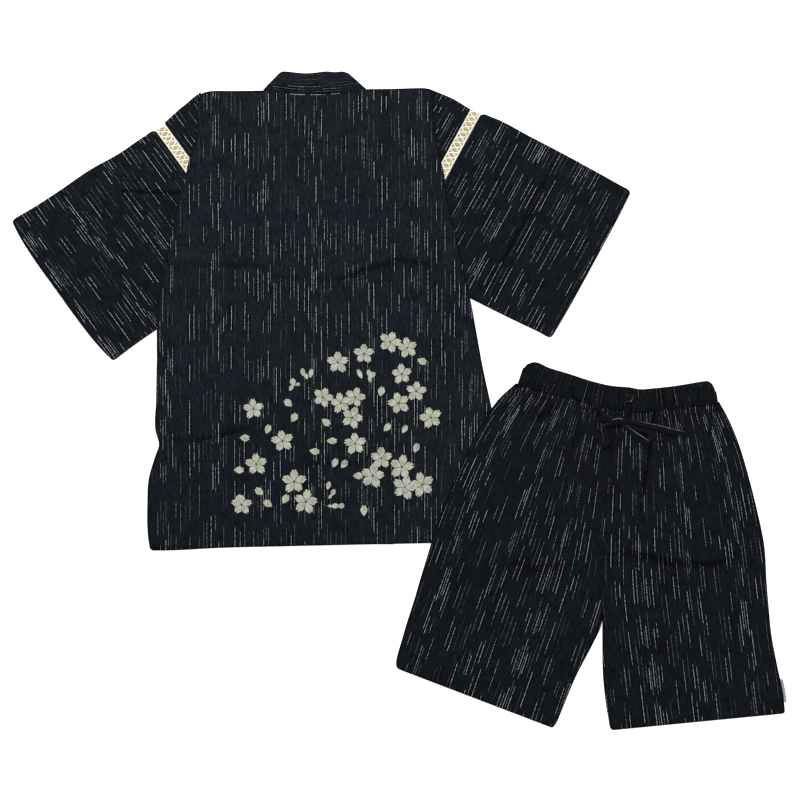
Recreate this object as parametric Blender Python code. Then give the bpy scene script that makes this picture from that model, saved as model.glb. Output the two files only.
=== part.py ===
"""A jinbei set laid flat: the jacket face down, the shorts face up over its lower corner.

Every garment is drawn in its own frame, in millimetres: x runs across and "down" runs from the
neck or the waist towards the hem. A frame then places it on the surface, which is z = 0.
Left and right are the wearer's, so they change sides between the jacket and the shorts.
"""
import math
from collections import namedtuple

import bmesh
import bpy
import numpy as np

MM = 0.001

# Cloth and how it is stacked (mm)
CLOTH = 1.0
SEAM_GAP = 0.3
LAYER = CLOTH + SEAM_GAP

# Jacket (mm)
NECK_HALF = 89.0
NECK_DIP = 9.0
COLLAR_BAND = 38.0
COLLAR_THICK = 2.0
FRONT_INSET = 2.0
BACK_AIR = 2.2
BACK_REACH = 90.0
TUCK_LEVEL = 6.5
TUCK_MARGIN = 24.0
TUCK_RAMP = 24.0
SLEEVE_FLAT = 3.6
SLEEVE_PUFF = 1.4
FOLD_ROUND = 2.0
CUFF_OUT = 291.0
CUFF_BOW_FROM = 180.0
LACE_WIDTH = 20.0
TIE_WIDTH = 20.0

# Shorts (mm)
BAND_HEIGHT = 5.6
BAND_WALL = 1.3
BAND_WAVES = 18
BAND_WAVE_RISE = 0.5
BAND_SEAM = 0.7
LEG_ROWS = 14
LEG_EASE = 1.25
LEG_PUFF = 2.0
LEG_REACH = 70.0
GATHERS = 8
GATHER_RISE = 1.6
GATHER_FADE = 55.0
SHORTS_LIFT = 6.4
LIFT_MARGIN = 25.0
LIFT_RAMP = 55.0
BUTTON_ACROSS = 15.0
BUTTON_THICK = 2.4
TAPE_RADIUS = 1.8

Frame = namedtuple("Frame", "x y turn")
JACKET = Frame(-144.5, 528.9, 0.0)
SHORTS = Frame(381.0, 21.5, 5.5)

Section = namedtuple("Section", "left_x left_down right_x right_down")
Armhole = namedtuple("Armhole", "side x down droop cuff_bow")
Reach = namedtuple("Reach", "out top bottom")
Crease = namedtuple("Crease", "points width rise")

# The back from the shoulders to the hem; its sides are folded over the sleeves above the
# underarms and open in slits near the hem.
BACK = [
    Section(-193, -2, 203, -6.5),
    Section(-199, 19, 203, 19),
    Section(-200, 53, 205, 53),
    Section(-204, 84, 210, 84),
    Section(-216, 117, 217, 117),
    Section(-220, 138, 222, 138),
    Section(-234, 191, 230, 191),
    Section(-245, 240, 242, 240),
    Section(-255, 291, 253, 291),
    Section(-269, 361, 269, 361),
    Section(-271, 409, 278, 409),
    Section(-272, 470, 289, 470),
    Section(-273, 530, 302, 530),
    Section(-274, 582, 314, 582),
    Section(-268, 607, 318, 607),
    Section(-275, 628, 320, 628),
    Section(-286, 668, 325, 668),
    Section(-288, 705, 328, 705),
    Section(-286, 770, 329, 760),
    Section(-283, 787, 328, 773.5),
]

# Where a front meets its collar band: x from the centre at each distance down, drawn for the
# left front, which starts left of the neck and laps past the centre.
Lap = namedtuple("Lap", "down x")
LAP = [
    Lap(-4, -89), Lap(53, -62), Lap(117, -31), Lap(191, 4), Lap(240, 28), Lap(291, 50),
    Lap(361, 76), Lap(409, 89), Lap(470, 97), Lap(530, 98), Lap(790, 98),
]

# The sleeves hang off their armholes at the droop angle (degrees); their cuffs bow out a little.
LEFT_ARMHOLE = Armhole(-1, -274.3, 65.4, 35.9, 7.0)
RIGHT_ARMHOLE = Armhole(1, 285.3, 40.2, 28.6, 2.0)
LEFT_SLEEVE = [
    Reach(0, 0, 290), Reach(72, -4, 286), Reach(131, -9.5, 282), Reach(194, -11, 280),
    Reach(255, -15, 279), Reach(284, -18, 279), Reach(291, -17, 277),
]
RIGHT_SLEEVE = [
    Reach(0, -1, 291), Reach(20, -6, 290), Reach(90, -9, 286), Reach(150, -10, 284.5),
    Reach(223, -10, 281.5), Reach(278, -9, 278), Reach(289.5, -6, 275),
]
LEFT_SHOULDER = [Reach(-101, -4, 30), Reach(-75, -6, 90), Reach(-50, -3, 190), Reach(-20, 1, 277)]
RIGHT_SHOULDER = [Reach(-101, 2, 30), Reach(-72, -1, 95), Reach(-50, -2, 190), Reach(-20, 0, 277)]

BACK_CREASES = [
    Crease([(-252, 289), (-102, 289), (-68, 315), (3, 320), (73, 303), (144, 280), (249, 306)], 13, 1.6),
    Crease([(-269, 592), (-207, 592), (-156, 580), (-94, 566)], 13, 1.5),
    Crease([(-49, 631), (73, 631), (144, 600), (249, 605)], 13, 1.4),
    Crease([(-111, 114), (-107, 229)], 13, 0.7),
]
LEFT_SLEEVE_CREASES = [Crease([(108, 52), (25, 120)], 13, 0.9)]
RIGHT_SLEEVE_CREASES = [Crease([(161, 20), (159, 240)], 13, 0.9)]

# Crossing the waistband from its top edge to its bottom edge, one row for each place across.
BAND = [
    Section(-170, -12, -177, 14),
    Section(-163, -23, -171, 14.5),
    Section(-153, -28, -160, 15.5),
    Section(-123, -21, -127, 20),
    Section(-88, -14, -91, 25.5),
    Section(-52, -6, -54, 32),
    Section(-17, -1, -17.5, 38.5),
    Section(26, 0.5, 26, 40),
    Section(60, -4, 61, 36),
    Section(102, -13, 105, 25),
    Section(143, -25, 149, 16),
    Section(155, -20, 162, 13.5),
    Section(166, -4, 172, 12),
]

# The two legs of the shorts, from the waistband to the hem.
RIGHT_LEG = [
    Section(-179, 14, 1, 41),
    Section(-205, 42, 0, 66),
    Section(-227, 81, 0, 100),
    Section(-241, 113, 0, 130),
    Section(-262, 172, -3, 190),
    Section(-282, 233, -2, 250),
    Section(-298, 300, 1, 318),
    Section(-309, 355, 5, 372),
    Section(-318, 402, 7.5, 414),
    Section(-325, 434, -4, 446),
    Section(-332, 470, -27, 503),
    Section(-338, 505, -44, 558),
    Section(-337, 518, -55, 594),
]
LEFT_LEG = [
    Section(1, 41, 173, 12),
    Section(0, 66, 190, 36),
    Section(0, 100, 213, 78),
    Section(0, 130, 226, 108),
    Section(-3, 190, 250, 172),
    Section(-2, 250, 273, 244),
    Section(1, 318, 284, 310),
    Section(6, 372, 293, 360),
    Section(9.5, 414, 301, 400),
    Section(13, 450, 309.5, 430),
    Section(17.5, 490, 318, 458),
    Section(26, 535, 330, 495),
    Section(40, 588, 337, 530.5),
]
FLY = [
    Section(2, 42, 61, 40),
    Section(1, 100, 60, 98),
    Section(-1, 150, 59, 150),
    Section(-2, 200, 58, 204),
    Section(-2, 235, 53, 247),
    Section(-1, 262, 40, 272),
    Section(1, 286, 10, 290),
]
SHORTS_CREASES = [
    Crease([(19, 286), (93, 283), (131, 297), (190, 282), (262, 262)], 13, 1.2),
    Crease([(-30, 300), (-110, 318), (-170, 306)], 13, 0.8),
]

# Drawstring and bow: x and distance down on the front of the shorts, from the band outwards.
RIGHT_STRAND = [(-46, 24), (-42, 33), (-31, 43), (-19, 52), (-10.5, 55.5)]
LEFT_STRAND = [(15, 29), (16, 36), (17, 43), (14.5, 48.7)]
TAIL = [(16.5, 56), (30, 58), (52, 61), (80, 65), (104, 69), (119, 70.5)]
LEFT_LOOP = [(15.5, 60.5), (30, 66), (46, 69), (59, 74), (63, 84), (58, 92), (46, 87), (32, 79), (20, 71),
             (11.5, 65)]
RIGHT_LOOP = [(-10.5, 60), (-24, 58.5), (-36, 61), (-38, 72), (-30, 90), (-19, 100), (-14, 96), (-17, 84),
              (-21, 72), (-9.5, 64)]
KNOT = (3.5, 57.0)
KNOT_SIZE = (24.0, 14.0, 6.0)
BUTTON = (17.0, 18.0)
LABEL_DOWN = (474.0, 513.0)
LABEL_OUT = 5.0


def clear_scene():
    for thing in list(bpy.data.objects):
        bpy.data.objects.remove(thing, do_unlink=True)


def cloth_material(name, colour, roughness):
    made = bpy.data.materials.new(name)
    made.use_nodes = True
    shader = made.node_tree.nodes["Principled BSDF"]
    shader.inputs["Base Color"].default_value = (*colour, 1.0)
    shader.inputs["Roughness"].default_value = roughness
    shader.inputs["Metallic"].default_value = 0.0
    return made


def ramp(value):
    """Smooth step from 0 to 1 as value goes from 0 to 1."""
    held = np.clip(value, 0.0, 1.0)
    return held * held * (3.0 - 2.0 * held)


def smooth_table(table, count, ease=1.0):
    """Cubic curve through the table's rows, read at count places; ease > 1 crowds the start."""
    rows = np.array(table, dtype=float)
    steps = np.linalg.norm(np.diff(rows, axis=0), axis=1)
    station = np.concatenate([[0.0], np.cumsum(steps)])
    station /= station[-1]
    slope = np.gradient(rows, station, axis=0)
    wanted = np.linspace(0.0, 1.0, count) ** ease
    seat = np.clip(np.searchsorted(station, wanted, side="right") - 1, 0, len(station) - 2)
    span = (station[seat + 1] - station[seat])[:, None]
    t = (wanted[:, None] - station[seat][:, None]) / span
    start = (2 * t**3 - 3 * t**2 + 1) * rows[seat] + (t**3 - 2 * t**2 + t) * span * slope[seat]
    return start + (3 * t**2 - 2 * t**3) * rows[seat + 1] + (t**3 - t**2) * span * slope[seat + 1]


def spread(sections, down_count, across_count, ease=1.0):
    """Grid of x and down between the left and right ends of smoothed sections."""
    ends = smooth_table(sections, down_count, ease)
    across = np.linspace(0.0, 1.0, across_count)
    x = ends[:, 0:1] + (ends[:, 2:3] - ends[:, 0:1]) * across
    down = ends[:, 1:2] + (ends[:, 3:4] - ends[:, 1:2]) * across
    return x, down


def outline_of(sections):
    """Polygon down the left ends and back up the right ends."""
    left = [(row.left_x, row.left_down) for row in sections]
    right = [(row.right_x, row.right_down) for row in reversed(sections)]
    return left + right


def depth_inside(x, down, outline):
    """Distance to the outline, positive inside it."""
    corners = np.array(outline, dtype=float)
    nearest = np.full(np.shape(x), np.inf)
    inside = np.zeros(np.shape(x), dtype=bool)
    for (ax, ay), (bx, by) in zip(corners, np.roll(corners, -1, axis=0)):
        run, fall = bx - ax, by - ay
        t = np.clip(((x - ax) * run + (down - ay) * fall) / (run**2 + fall**2), 0.0, 1.0)
        nearest = np.minimum(nearest, np.hypot(x - ax - t * run, down - ay - t * fall))
        if fall != 0.0:
            crosses = (ay > down) != (by > down)
            inside ^= crosses & (x < ax + run * (down - ay) / fall)
    return np.where(inside, nearest, -nearest)


def crease_rise(x, down, creases):
    """Soft ridges (or troughs) along the polylines, fading past their ends."""
    total = np.zeros(np.shape(x))
    for crease in creases:
        nearest = np.full(np.shape(x), np.inf)
        for (ax, ay), (bx, by) in zip(crease.points, crease.points[1:]):
            run, fall = bx - ax, by - ay
            t = np.clip(((x - ax) * run + (down - ay) * fall) / (run**2 + fall**2), 0.0, 1.0)
            nearest = np.minimum(nearest, np.hypot(x - ax - t * run, down - ay - t * fall))
        total += crease.rise * np.exp(-((nearest / crease.width) ** 2))
    return total


def placed(frame, x, down):
    """World x and y in mm of a place on a garment."""
    turn = math.radians(frame.turn)
    world_x = frame.x + x * math.cos(turn) - down * math.sin(turn)
    world_y = frame.y - x * math.sin(turn) - down * math.cos(turn)
    return world_x, world_y


def surface(name, frame, x, down, height, looped=False, flipped=False):
    """Object whose mesh is the grid of points; looped joins its last column to its first."""
    world_x, world_y = placed(frame, x, down)
    points = np.stack([world_x, world_y, np.broadcast_to(height, np.shape(x))], axis=-1) * MM
    rows, columns = np.shape(x)
    index = np.arange(rows * columns).reshape(rows, columns)
    beside = np.roll(index, -1, axis=1)
    last = columns if looped else columns - 1
    quads = np.stack([index[:-1, :last], index[1:, :last], beside[1:, :last], beside[:-1, :last]], axis=-1)
    quads = quads.reshape(-1, 4)
    if flipped:
        quads = quads[:, ::-1]
    mesh = bpy.data.meshes.new(name)
    mesh.from_pydata(points.reshape(-1, 3).tolist(), [], quads.tolist())
    mesh.update()
    made = bpy.data.objects.new(name, mesh)
    bpy.context.scene.collection.objects.link(made)
    return made


def walled(made, material, thickness, grows):
    """Give a surface its cloth thickness; grows is 1 along its normals and -1 against them."""
    wall = made.modifiers.new("cloth wall", "SOLIDIFY")
    wall.thickness = thickness * MM
    wall.offset = grows
    wall.use_rim = True
    made.data.materials.append(material)
    return made


# ---- Jacket --------------------------------------------------------------------------------


def armhole_axes(armhole):
    """Unit vectors out along the sleeve and down along the armhole seam."""
    droop = math.radians(armhole.droop)
    out = (armhole.side * math.cos(droop), math.sin(droop))
    along = (-armhole.side * math.sin(droop), math.cos(droop))
    return out, along


def from_armhole(armhole, out, along):
    """Jacket x and down of a place given out from the armhole seam and along it."""
    out_axis, along_axis = armhole_axes(armhole)
    x = armhole.x + out * out_axis[0] + along * along_axis[0]
    down = armhole.down + out * out_axis[1] + along * along_axis[1]
    return x, down


def tucked_outline(armhole, shoulder, sleeve, underarm):
    """What of a shoulder part and a sleeve lies folded in under the back."""
    inner = [from_armhole(armhole, out, bottom) for out, _, bottom in smooth_table(shoulder, 9)]
    top = from_armhole(armhole, shoulder[0].out, shoulder[0].top)
    corner = from_armhole(armhole, sleeve[0].out, sleeve[0].bottom)
    return [top] + inner + [corner, underarm]


TUCKED = [
    tucked_outline(LEFT_ARMHOLE, LEFT_SHOULDER, LEFT_SLEEVE, (-273, 412)),
    tucked_outline(RIGHT_ARMHOLE, RIGHT_SHOULDER, RIGHT_SLEEVE, (271, 360)),
]


def neck_dip(x):
    """How far the neck seam dips below the shoulder line, most at the centre back."""
    return NECK_DIP * np.clip(1.0 - (x / NECK_HALF) ** 2, 0.0, None)


def neck_seam(x):
    """Distance down of the neck seam."""
    share = (x - BACK[0].left_x) / (BACK[0].right_x - BACK[0].left_x)
    return BACK[0].left_down + share * (BACK[0].right_down - BACK[0].left_down) + neck_dip(x)


def over_body(x, down, margin, reach):
    """1 over the jacket's body and a margin round it, easing to 0 across the reach beyond."""
    return ramp((depth_inside(x, down, outline_of(BACK)) + margin + reach) / reach)


def back_underside(x, down):
    """Height of the back's lower face: on the fronts, raised by air and by the tucked sleeves."""
    body = 2 * LAYER + BACK_AIR * ramp(depth_inside(x, down, outline_of(BACK)) / BACK_REACH)
    tucked = np.maximum(*[depth_inside(x, down, outline) for outline in TUCKED])
    held = ramp((tucked + TUCK_MARGIN + TUCK_RAMP) / TUCK_RAMP)
    return body + (TUCK_LEVEL - body) * held + crease_rise(x, down, BACK_CREASES)


def jacket_back(material):
    x, down = spread(BACK, 33, 22)
    fade = np.linspace(1.0, 0.0, x.shape[0])[:, None] ** 4
    down = down + fade * neck_dip(x)
    made = surface("jacket_back", JACKET, x, down, back_underside(x, down))
    walled(made, material, CLOTH, 1)


def lap_x(down):
    return np.interp(down, [row.down for row in LAP], [row.x for row in LAP])


def lap_down(row, side):
    """Distance down at which a section of the back crosses the lap line."""
    share = (side * lap_x(row.left_down) - row.left_x) / (row.right_x - row.left_x)
    return row.left_down + share * (row.right_down - row.left_down)


def front_sections(side):
    """Sections of the left (1) or right (-1) front: the back's side, inset, to the lap line."""
    made = []
    for row in BACK:
        down = lap_down(row, side)
        if side > 0:
            made.append(Section(row.left_x + FRONT_INSET, row.left_down, lap_x(down), down))
        else:
            made.append(Section(-lap_x(down), down, row.right_x - FRONT_INSET, row.right_down))
    return made


def jacket_front(name, side, level, material):
    x, down = spread(front_sections(side), 22, 8)
    walled(surface(name, JACKET, x, down, level), material, CLOTH, 1)


def collar_arm(name, side, level, material):
    """Band from the fold at the neck down a front's edge to the hem."""
    sections = []
    for row in BACK:
        down = lap_down(row, side)
        seam = lap_x(down) + SEAM_GAP
        sections.append(Section(seam, down, seam + COLLAR_BAND, down))
    sections[0] = sections[0]._replace(right_x=-60, right_down=-31)
    sections[1] = sections[1]._replace(right_x=-41, right_down=7)
    x, down = spread(sections, 30, 3)
    made = surface(name, JACKET, side * x, down, level, flipped=side < 0)
    walled(made, material, CLOTH, 1)


def collar_back(material):
    """The band across the back of the neck, narrowing to the folds at its ends."""
    top = smooth_table([(-60, -33), (-28, -34.5), (11, -36), (45, -35.5), (59, -33)], 17)
    seam_x = np.linspace(-NECK_HALF, NECK_HALF, 17)
    seam = neck_seam(seam_x) - SEAM_GAP
    sections = [Section(a, b, c, d) for a, b, c, d in zip(top[:, 0], top[:, 1], seam_x, seam)]
    x, down = spread(sections, 17, 5)
    height = 2 * LAYER + 0.5 * np.sin(np.linspace(0.0, math.pi, 5))[None, :] + 0.0 * x
    made = surface("collar_back", JACKET, x, down, height, flipped=True)
    walled(made, material, COLLAR_THICK, 1)


def flattened_loop(across_count, closed):
    """Template of a flattened tube's section: share along, rise from 0 to 1, and bulge."""
    share = np.linspace(1.0, 0.0, across_count)
    turn = np.radians([60.0, 0.0, -60.0])
    parts = [
        (share, np.ones(across_count), np.zeros(across_count)),
        (np.zeros(3), 0.5 + 0.5 * np.sin(turn), -np.cos(turn)),
        (share[::-1], np.zeros(across_count), np.zeros(across_count)),
    ]
    if closed:
        parts.append((np.ones(3), 0.5 - 0.5 * np.sin(turn), np.cos(turn)))
    return [np.concatenate(column) for column in zip(*parts)]


def sleeve_part(name, armhole, reaches, stations, across_count, creases, material, closed=True):
    """Flattened tube, or a cloth folded over the shoulder, around an armhole's axis."""
    rows = smooth_table(reaches, stations)
    share, rise, bulge = flattened_loop(across_count, closed)
    top = rows[:, 1:2] + FOLD_ROUND
    bottom = rows[:, 2:3] - FOLD_ROUND
    along = top + (bottom - top) * share + FOLD_ROUND * bulge
    bow = armhole.cuff_bow * ramp((rows[:, 0:1] - CUFF_BOW_FROM) / (CUFF_OUT - CUFF_BOW_FROM))
    out = rows[:, 0:1] + bow * (1.0 - (2.0 * share - 1.0) ** 4)
    x, down = from_armhole(armhole, out, along)
    floor = 2 * LAYER * over_body(x, down, TUCK_MARGIN, 40.0)
    puff = SLEEVE_PUFF * (1.0 - over_body(x, down, TUCK_MARGIN, 40.0)) * (1.0 - (2.0 * share - 1.0) ** 4)
    loose = 1.0 - over_body(x, down, 0.0, 20.0)
    thick = SLEEVE_FLAT + puff + loose * crease_rise(out, along, creases)
    made = surface(name, JACKET, x, down, floor + thick * rise, closed, armhole.side < 0)
    walled(made, material, CLOTH, -1)


def lace_reach(sleeve):
    first = sleeve[0]
    return [
        Reach(-LACE_WIDTH + SEAM_GAP, first.top + 1, first.bottom - 3),
        Reach(-LACE_WIDTH / 2, first.top + 0.5, first.bottom - 1.5),
        Reach(-SEAM_GAP, first.top, first.bottom),
    ]


def tie(name, level, start, end, material):
    """Strip from its root at start to its free end."""
    run, fall = end[0] - start[0], end[1] - start[1]
    length = math.hypot(run, fall)
    side_x, side_down = fall / length * TIE_WIDTH / 2, -run / length * TIE_WIDTH / 2
    sections = [
        Section(start[0] - side_x, start[1] - side_down, start[0] + side_x, start[1] + side_down),
        Section(end[0] - side_x, end[1] - side_down, end[0] + side_x, end[1] + side_down),
    ]
    x, down = spread(sections, 6, 2)
    walled(surface(name, JACKET, x, down, level), material, CLOTH, 1)


def make_jacket(cloth, lace):
    jacket_front("jacket_front_left", 1, 0.0, cloth)
    jacket_front("jacket_front_right", -1, LAYER, cloth)
    collar_arm("collar_left", 1, 0.0, cloth)
    collar_arm("collar_right", -1, LAYER, cloth)
    collar_back(cloth)
    jacket_back(cloth)
    for side, armhole, sleeve, shoulder, creases in (
        ("left", LEFT_ARMHOLE, LEFT_SLEEVE, LEFT_SHOULDER, LEFT_SLEEVE_CREASES),
        ("right", RIGHT_ARMHOLE, RIGHT_SLEEVE, RIGHT_SHOULDER, RIGHT_SLEEVE_CREASES),
    ):
        sleeve_part("sleeve_" + side, armhole, sleeve, 13, 10, creases, cloth)
        sleeve_part("lace_" + side, armhole, lace_reach(sleeve), 2, 10, [], lace)
        sleeve_part("shoulder_" + side, armhole, shoulder, 5, 7, [], cloth, closed=False)
    tie("tie_inner_front", LAYER, (-148, 458), (-178, 700), cloth)
    tie("tie_inner_side", LAYER, (-258, 480), (-225, 712), cloth)
    tie("tie_outer_front", 0.0, (149, 458), (185, 700), cloth)
    tie("tie_outer_side", 0.0, (270, 480), (244, 712), cloth)


# ---- Shorts --------------------------------------------------------------------------------


def floor_under_shorts(x, down):
    """Height that the shorts lie at: the floor, or the jacket's corner under the right leg."""
    world_x, world_y = placed(SHORTS, x, down)
    jacket_x, jacket_down = world_x - JACKET.x, JACKET.y - world_y
    return SHORTS_LIFT * over_body(jacket_x, jacket_down, LIFT_MARGIN, LIFT_RAMP)


def band_bottom(x):
    edge = smooth_table(BAND, 161)
    return np.interp(x, edge[:, 2], edge[:, 3])


def leg_share(leg, x, down):
    """How far across a leg a place is, from 0 at its left end to 1 at its right end."""
    left = np.interp(down, [row.left_down for row in leg], [row.left_x for row in leg])
    right = np.interp(down, [row.right_down for row in leg], [row.right_x for row in leg])
    return (x - left) / (right - left)


def gather_rise(leg, x, down):
    """Soft gathers that fan from the waistband and die away down the leg."""
    wave = 0.5 - 0.5 * np.cos(2.0 * math.pi * GATHERS * leg_share(leg, x, down))
    return GATHER_RISE * wave * np.exp(-np.clip(down - band_bottom(x), 0.0, None) / GATHER_FADE)


def front_underside(leg, x, down):
    """Height of the lower face of a shorts front above the shorts' floor."""
    puff = LEG_PUFF * ramp(depth_inside(x, down, outline_of(leg)) / LEG_REACH)
    return LAYER + puff + gather_rise(leg, x, down) + crease_rise(x, down, SHORTS_CREASES)


def leg_grid(leg, down_count, across_count, ease):
    """Grid of a leg whose top edge follows the waistband's lower edge."""
    x, down = spread(leg, down_count, across_count, ease)
    fade = (1.0 - np.linspace(0.0, 1.0, down_count)[:, None] ** ease) ** 4
    return x, down + fade * (band_bottom(x[0:1]) + BAND_SEAM - down[0:1])


def inset_leg(leg, side):
    """The leg's sections, half a seam gap back from the centre seam."""
    if side > 0:
        return [row._replace(left_x=row.left_x + SEAM_GAP / 2) for row in leg]
    return [row._replace(right_x=row.right_x - SEAM_GAP / 2) for row in leg]


def between(values, count):
    """The columns of values, read at count even places."""
    place = np.linspace(0.0, values.shape[1] - 1.0, count)
    seat = np.minimum(place.astype(int), values.shape[1] - 2)
    return values[:, seat] + (values[:, seat + 1] - values[:, seat]) * (place - seat)


def shorts_leg(side_name, leg, side, cloth):
    """Back and front of a leg; both follow the floor through the same rows and columns."""
    x, down = leg_grid(inset_leg(leg, side), LEG_ROWS, GATHERS + 1, LEG_EASE)
    floor = floor_under_shorts(x, down)
    walled(surface("shorts_back_" + side_name, SHORTS, x, down, floor), cloth, CLOTH, 1)
    x, down, floor = [between(values, 4 * GATHERS + 1) for values in (x, down, floor)]
    height = floor + front_underside(leg, x, down)
    made = surface("shorts_front_" + side_name, SHORTS, x, down, height)
    walled(made, cloth, CLOTH, 1)


def fly(cloth):
    """The overlap beside the centre seam, curving in at its lower end."""
    x, down = spread(FLY, 15, 6)
    height = floor_under_shorts(x, down) + front_underside(LEFT_LEG, x, down) + LAYER + 0.35
    walled(surface("fly", SHORTS, x, down, height), cloth, CLOTH, 1)


def waistband(cloth):
    """Flattened ring of elastic casing, its front gathered in small waves."""
    share, rise, bulge = flattened_loop(4 * BAND_WAVES + 1, True)
    edges = smooth_table(BAND, 161)
    place = np.linspace(0.0, 1.0, 161)
    depth = np.linspace(0.0, 1.0, 3)[:, None]
    inner = 0.012 + 0.976 * share
    top_x, top_down, low_x, low_down = [np.interp(inner, place, column) for column in edges.T]
    x = top_x + (low_x - top_x) * depth + FOLD_ROUND * bulge
    down = top_down + (low_down - top_down) * depth
    wave = 0.5 - 0.5 * np.cos(2.0 * math.pi * BAND_WAVES * share)
    casing = 0.5 * np.sin(math.pi * depth)
    height = floor_under_shorts(x, down) + (BAND_HEIGHT + casing + BAND_WAVE_RISE * wave) * rise
    made = surface("waistband", SHORTS, x, down, height, True, True)
    walled(made, cloth, BAND_WALL, -1)


def front_top(x, down):
    """Upper face of what lies at a place on the front: the band, the fly or a leg."""
    x = np.asarray(x, dtype=float)
    down = np.asarray(down, dtype=float)
    leg = np.where(x < 0.0, front_underside(RIGHT_LEG, x, down), front_underside(LEFT_LEG, x, down) + LAYER)
    band = BAND_HEIGHT + 0.5 + BAND_WAVE_RISE
    on_band = ramp((band_bottom(x) + 8.0 - down) / 8.0)
    leg_height = leg + CLOTH + 0.35
    return floor_under_shorts(x, down) + leg_height + (np.maximum(band, leg_height) - leg_height) * on_band


def waist_button(material):
    x, y = placed(SHORTS, *BUTTON)
    height = float(front_top(BUTTON[0], BUTTON[1])) + SEAM_GAP
    mesh = bpy.data.meshes.new("waist_button")
    shape = bmesh.new()
    radius = BUTTON_ACROSS / 2 * MM
    bmesh.ops.create_cone(shape, cap_ends=True, segments=24, radius1=radius, radius2=radius,
                          depth=BUTTON_THICK * MM)
    top = [face for face in shape.faces if face.normal.z > 0.9]
    bmesh.ops.inset_region(shape, faces=top, thickness=1.6 * MM, depth=-0.7 * MM)
    shape.to_mesh(mesh)
    shape.free()
    made = bpy.data.objects.new("waist_button", mesh)
    made.location = (x * MM, y * MM, (height + BUTTON_THICK / 2) * MM)
    bpy.context.scene.collection.objects.link(made)
    made.data.materials.append(material)


def tape(name, route, count, lift, material):
    """A length of the drawstring as a plain tube lying on the front."""
    places = smooth_table(route, count)
    lifts = np.interp(np.linspace(0.0, 1.0, count), np.linspace(0.0, 1.0, len(lift)), lift)
    height = front_top(places[:, 0], places[:, 1]) + SEAM_GAP + TAPE_RADIUS + lifts
    x, y = placed(SHORTS, places[:, 0], places[:, 1])
    curve = bpy.data.curves.new(name, "CURVE")
    curve.dimensions = "3D"
    curve.bevel_depth = TAPE_RADIUS * MM
    curve.bevel_resolution = 2
    curve.use_fill_caps = True
    line = curve.splines.new("POLY")
    line.points.add(count - 1)
    for point, px, py, pz in zip(line.points, x, y, height):
        point.co = (px * MM, py * MM, pz * MM, 1.0)
    made = bpy.data.objects.new(name, curve)
    bpy.context.scene.collection.objects.link(made)
    made.data.materials.append(material)


def bow_knot(material):
    x, y = placed(SHORTS, *KNOT)
    height = float(front_top(KNOT[0], KNOT[1])) + SEAM_GAP + 0.4
    mesh = bpy.data.meshes.new("bow_knot")
    shape = bmesh.new()
    bmesh.ops.create_uvsphere(shape, u_segments=16, v_segments=8, radius=0.5 * MM)
    bmesh.ops.scale(shape, vec=KNOT_SIZE, verts=shape.verts)
    shape.to_mesh(mesh)
    shape.free()
    made = bpy.data.objects.new("bow_knot", mesh)
    made.location = (x * MM, y * MM, (height + KNOT_SIZE[2] / 2) * MM)
    made.rotation_euler.z = math.radians(-SHORTS.turn)
    bpy.context.scene.collection.objects.link(made)
    made.data.materials.append(material)


def side_label(material):
    """Bare tape that stands out of the side seam just above the hem."""
    edge = smooth_table(LEFT_LEG, 81)
    down = np.linspace(*LABEL_DOWN, 5)[:, None] + np.zeros((1, 2))
    seam = np.interp(down, edge[:, 3], edge[:, 2]) + SEAM_GAP
    x = seam + np.array([0.0, LABEL_OUT])
    walled(surface("side_label", SHORTS, x, down, 0.0), material, CLOTH, 1)


def make_shorts(cloth, button, label):
    shorts_leg("right", RIGHT_LEG, -1, cloth)
    shorts_leg("left", LEFT_LEG, 1, cloth)
    fly(cloth)
    waistband(cloth)
    waist_button(button)
    tape("drawstring_right", RIGHT_STRAND, 7, [0.3], cloth)
    tape("drawstring_left", LEFT_STRAND, 5, [0.3], cloth)
    tape("drawstring_tail", TAIL, 14, [0.3], cloth)
    tape("bow_loop_left", LEFT_LOOP, 20, [0.3], cloth)
    tape("bow_loop_right", RIGHT_LOOP, 22, [0.3], cloth)
    bow_knot(cloth)
    side_label(label)


clear_scene()
navy = cloth_material("navy_cotton", (0.0093, 0.0116, 0.0176), 0.9)
cream = cloth_material("cream_lace", (0.686, 0.631, 0.456), 0.85)
dark_resin = cloth_material("button_resin", (0.012, 0.012, 0.014), 0.35)
pale_tape = cloth_material("label_tape", (0.55, 0.55, 0.52), 0.8)
make_jacket(navy, cream)
make_shorts(navy, dark_resin, pale_tape)
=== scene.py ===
import math

import bpy
import numpy as np
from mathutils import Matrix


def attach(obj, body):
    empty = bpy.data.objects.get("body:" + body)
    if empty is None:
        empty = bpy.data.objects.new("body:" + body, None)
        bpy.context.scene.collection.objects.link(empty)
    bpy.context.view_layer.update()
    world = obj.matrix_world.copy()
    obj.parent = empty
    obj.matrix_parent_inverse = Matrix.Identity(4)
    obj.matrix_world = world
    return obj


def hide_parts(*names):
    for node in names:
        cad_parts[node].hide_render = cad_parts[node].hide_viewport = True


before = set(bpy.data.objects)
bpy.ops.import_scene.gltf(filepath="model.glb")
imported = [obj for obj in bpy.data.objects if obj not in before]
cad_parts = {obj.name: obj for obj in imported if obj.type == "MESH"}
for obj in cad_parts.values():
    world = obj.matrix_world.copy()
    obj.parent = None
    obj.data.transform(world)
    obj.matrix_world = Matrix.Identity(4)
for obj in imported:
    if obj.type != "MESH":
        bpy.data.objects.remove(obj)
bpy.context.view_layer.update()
print("frame loaded with %d nodes" % len(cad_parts))

# Lengths below are in millimetres. On a garment, x runs across it and down runs from the
# shoulders or the waist towards the hem; each garment has its place and turn on the table.
jacket = {"x": -144.5, "y": 528.9, "turn": 0.0}
shorts = {"x": 381.0, "y": 21.5, "turn": 5.5}
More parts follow.
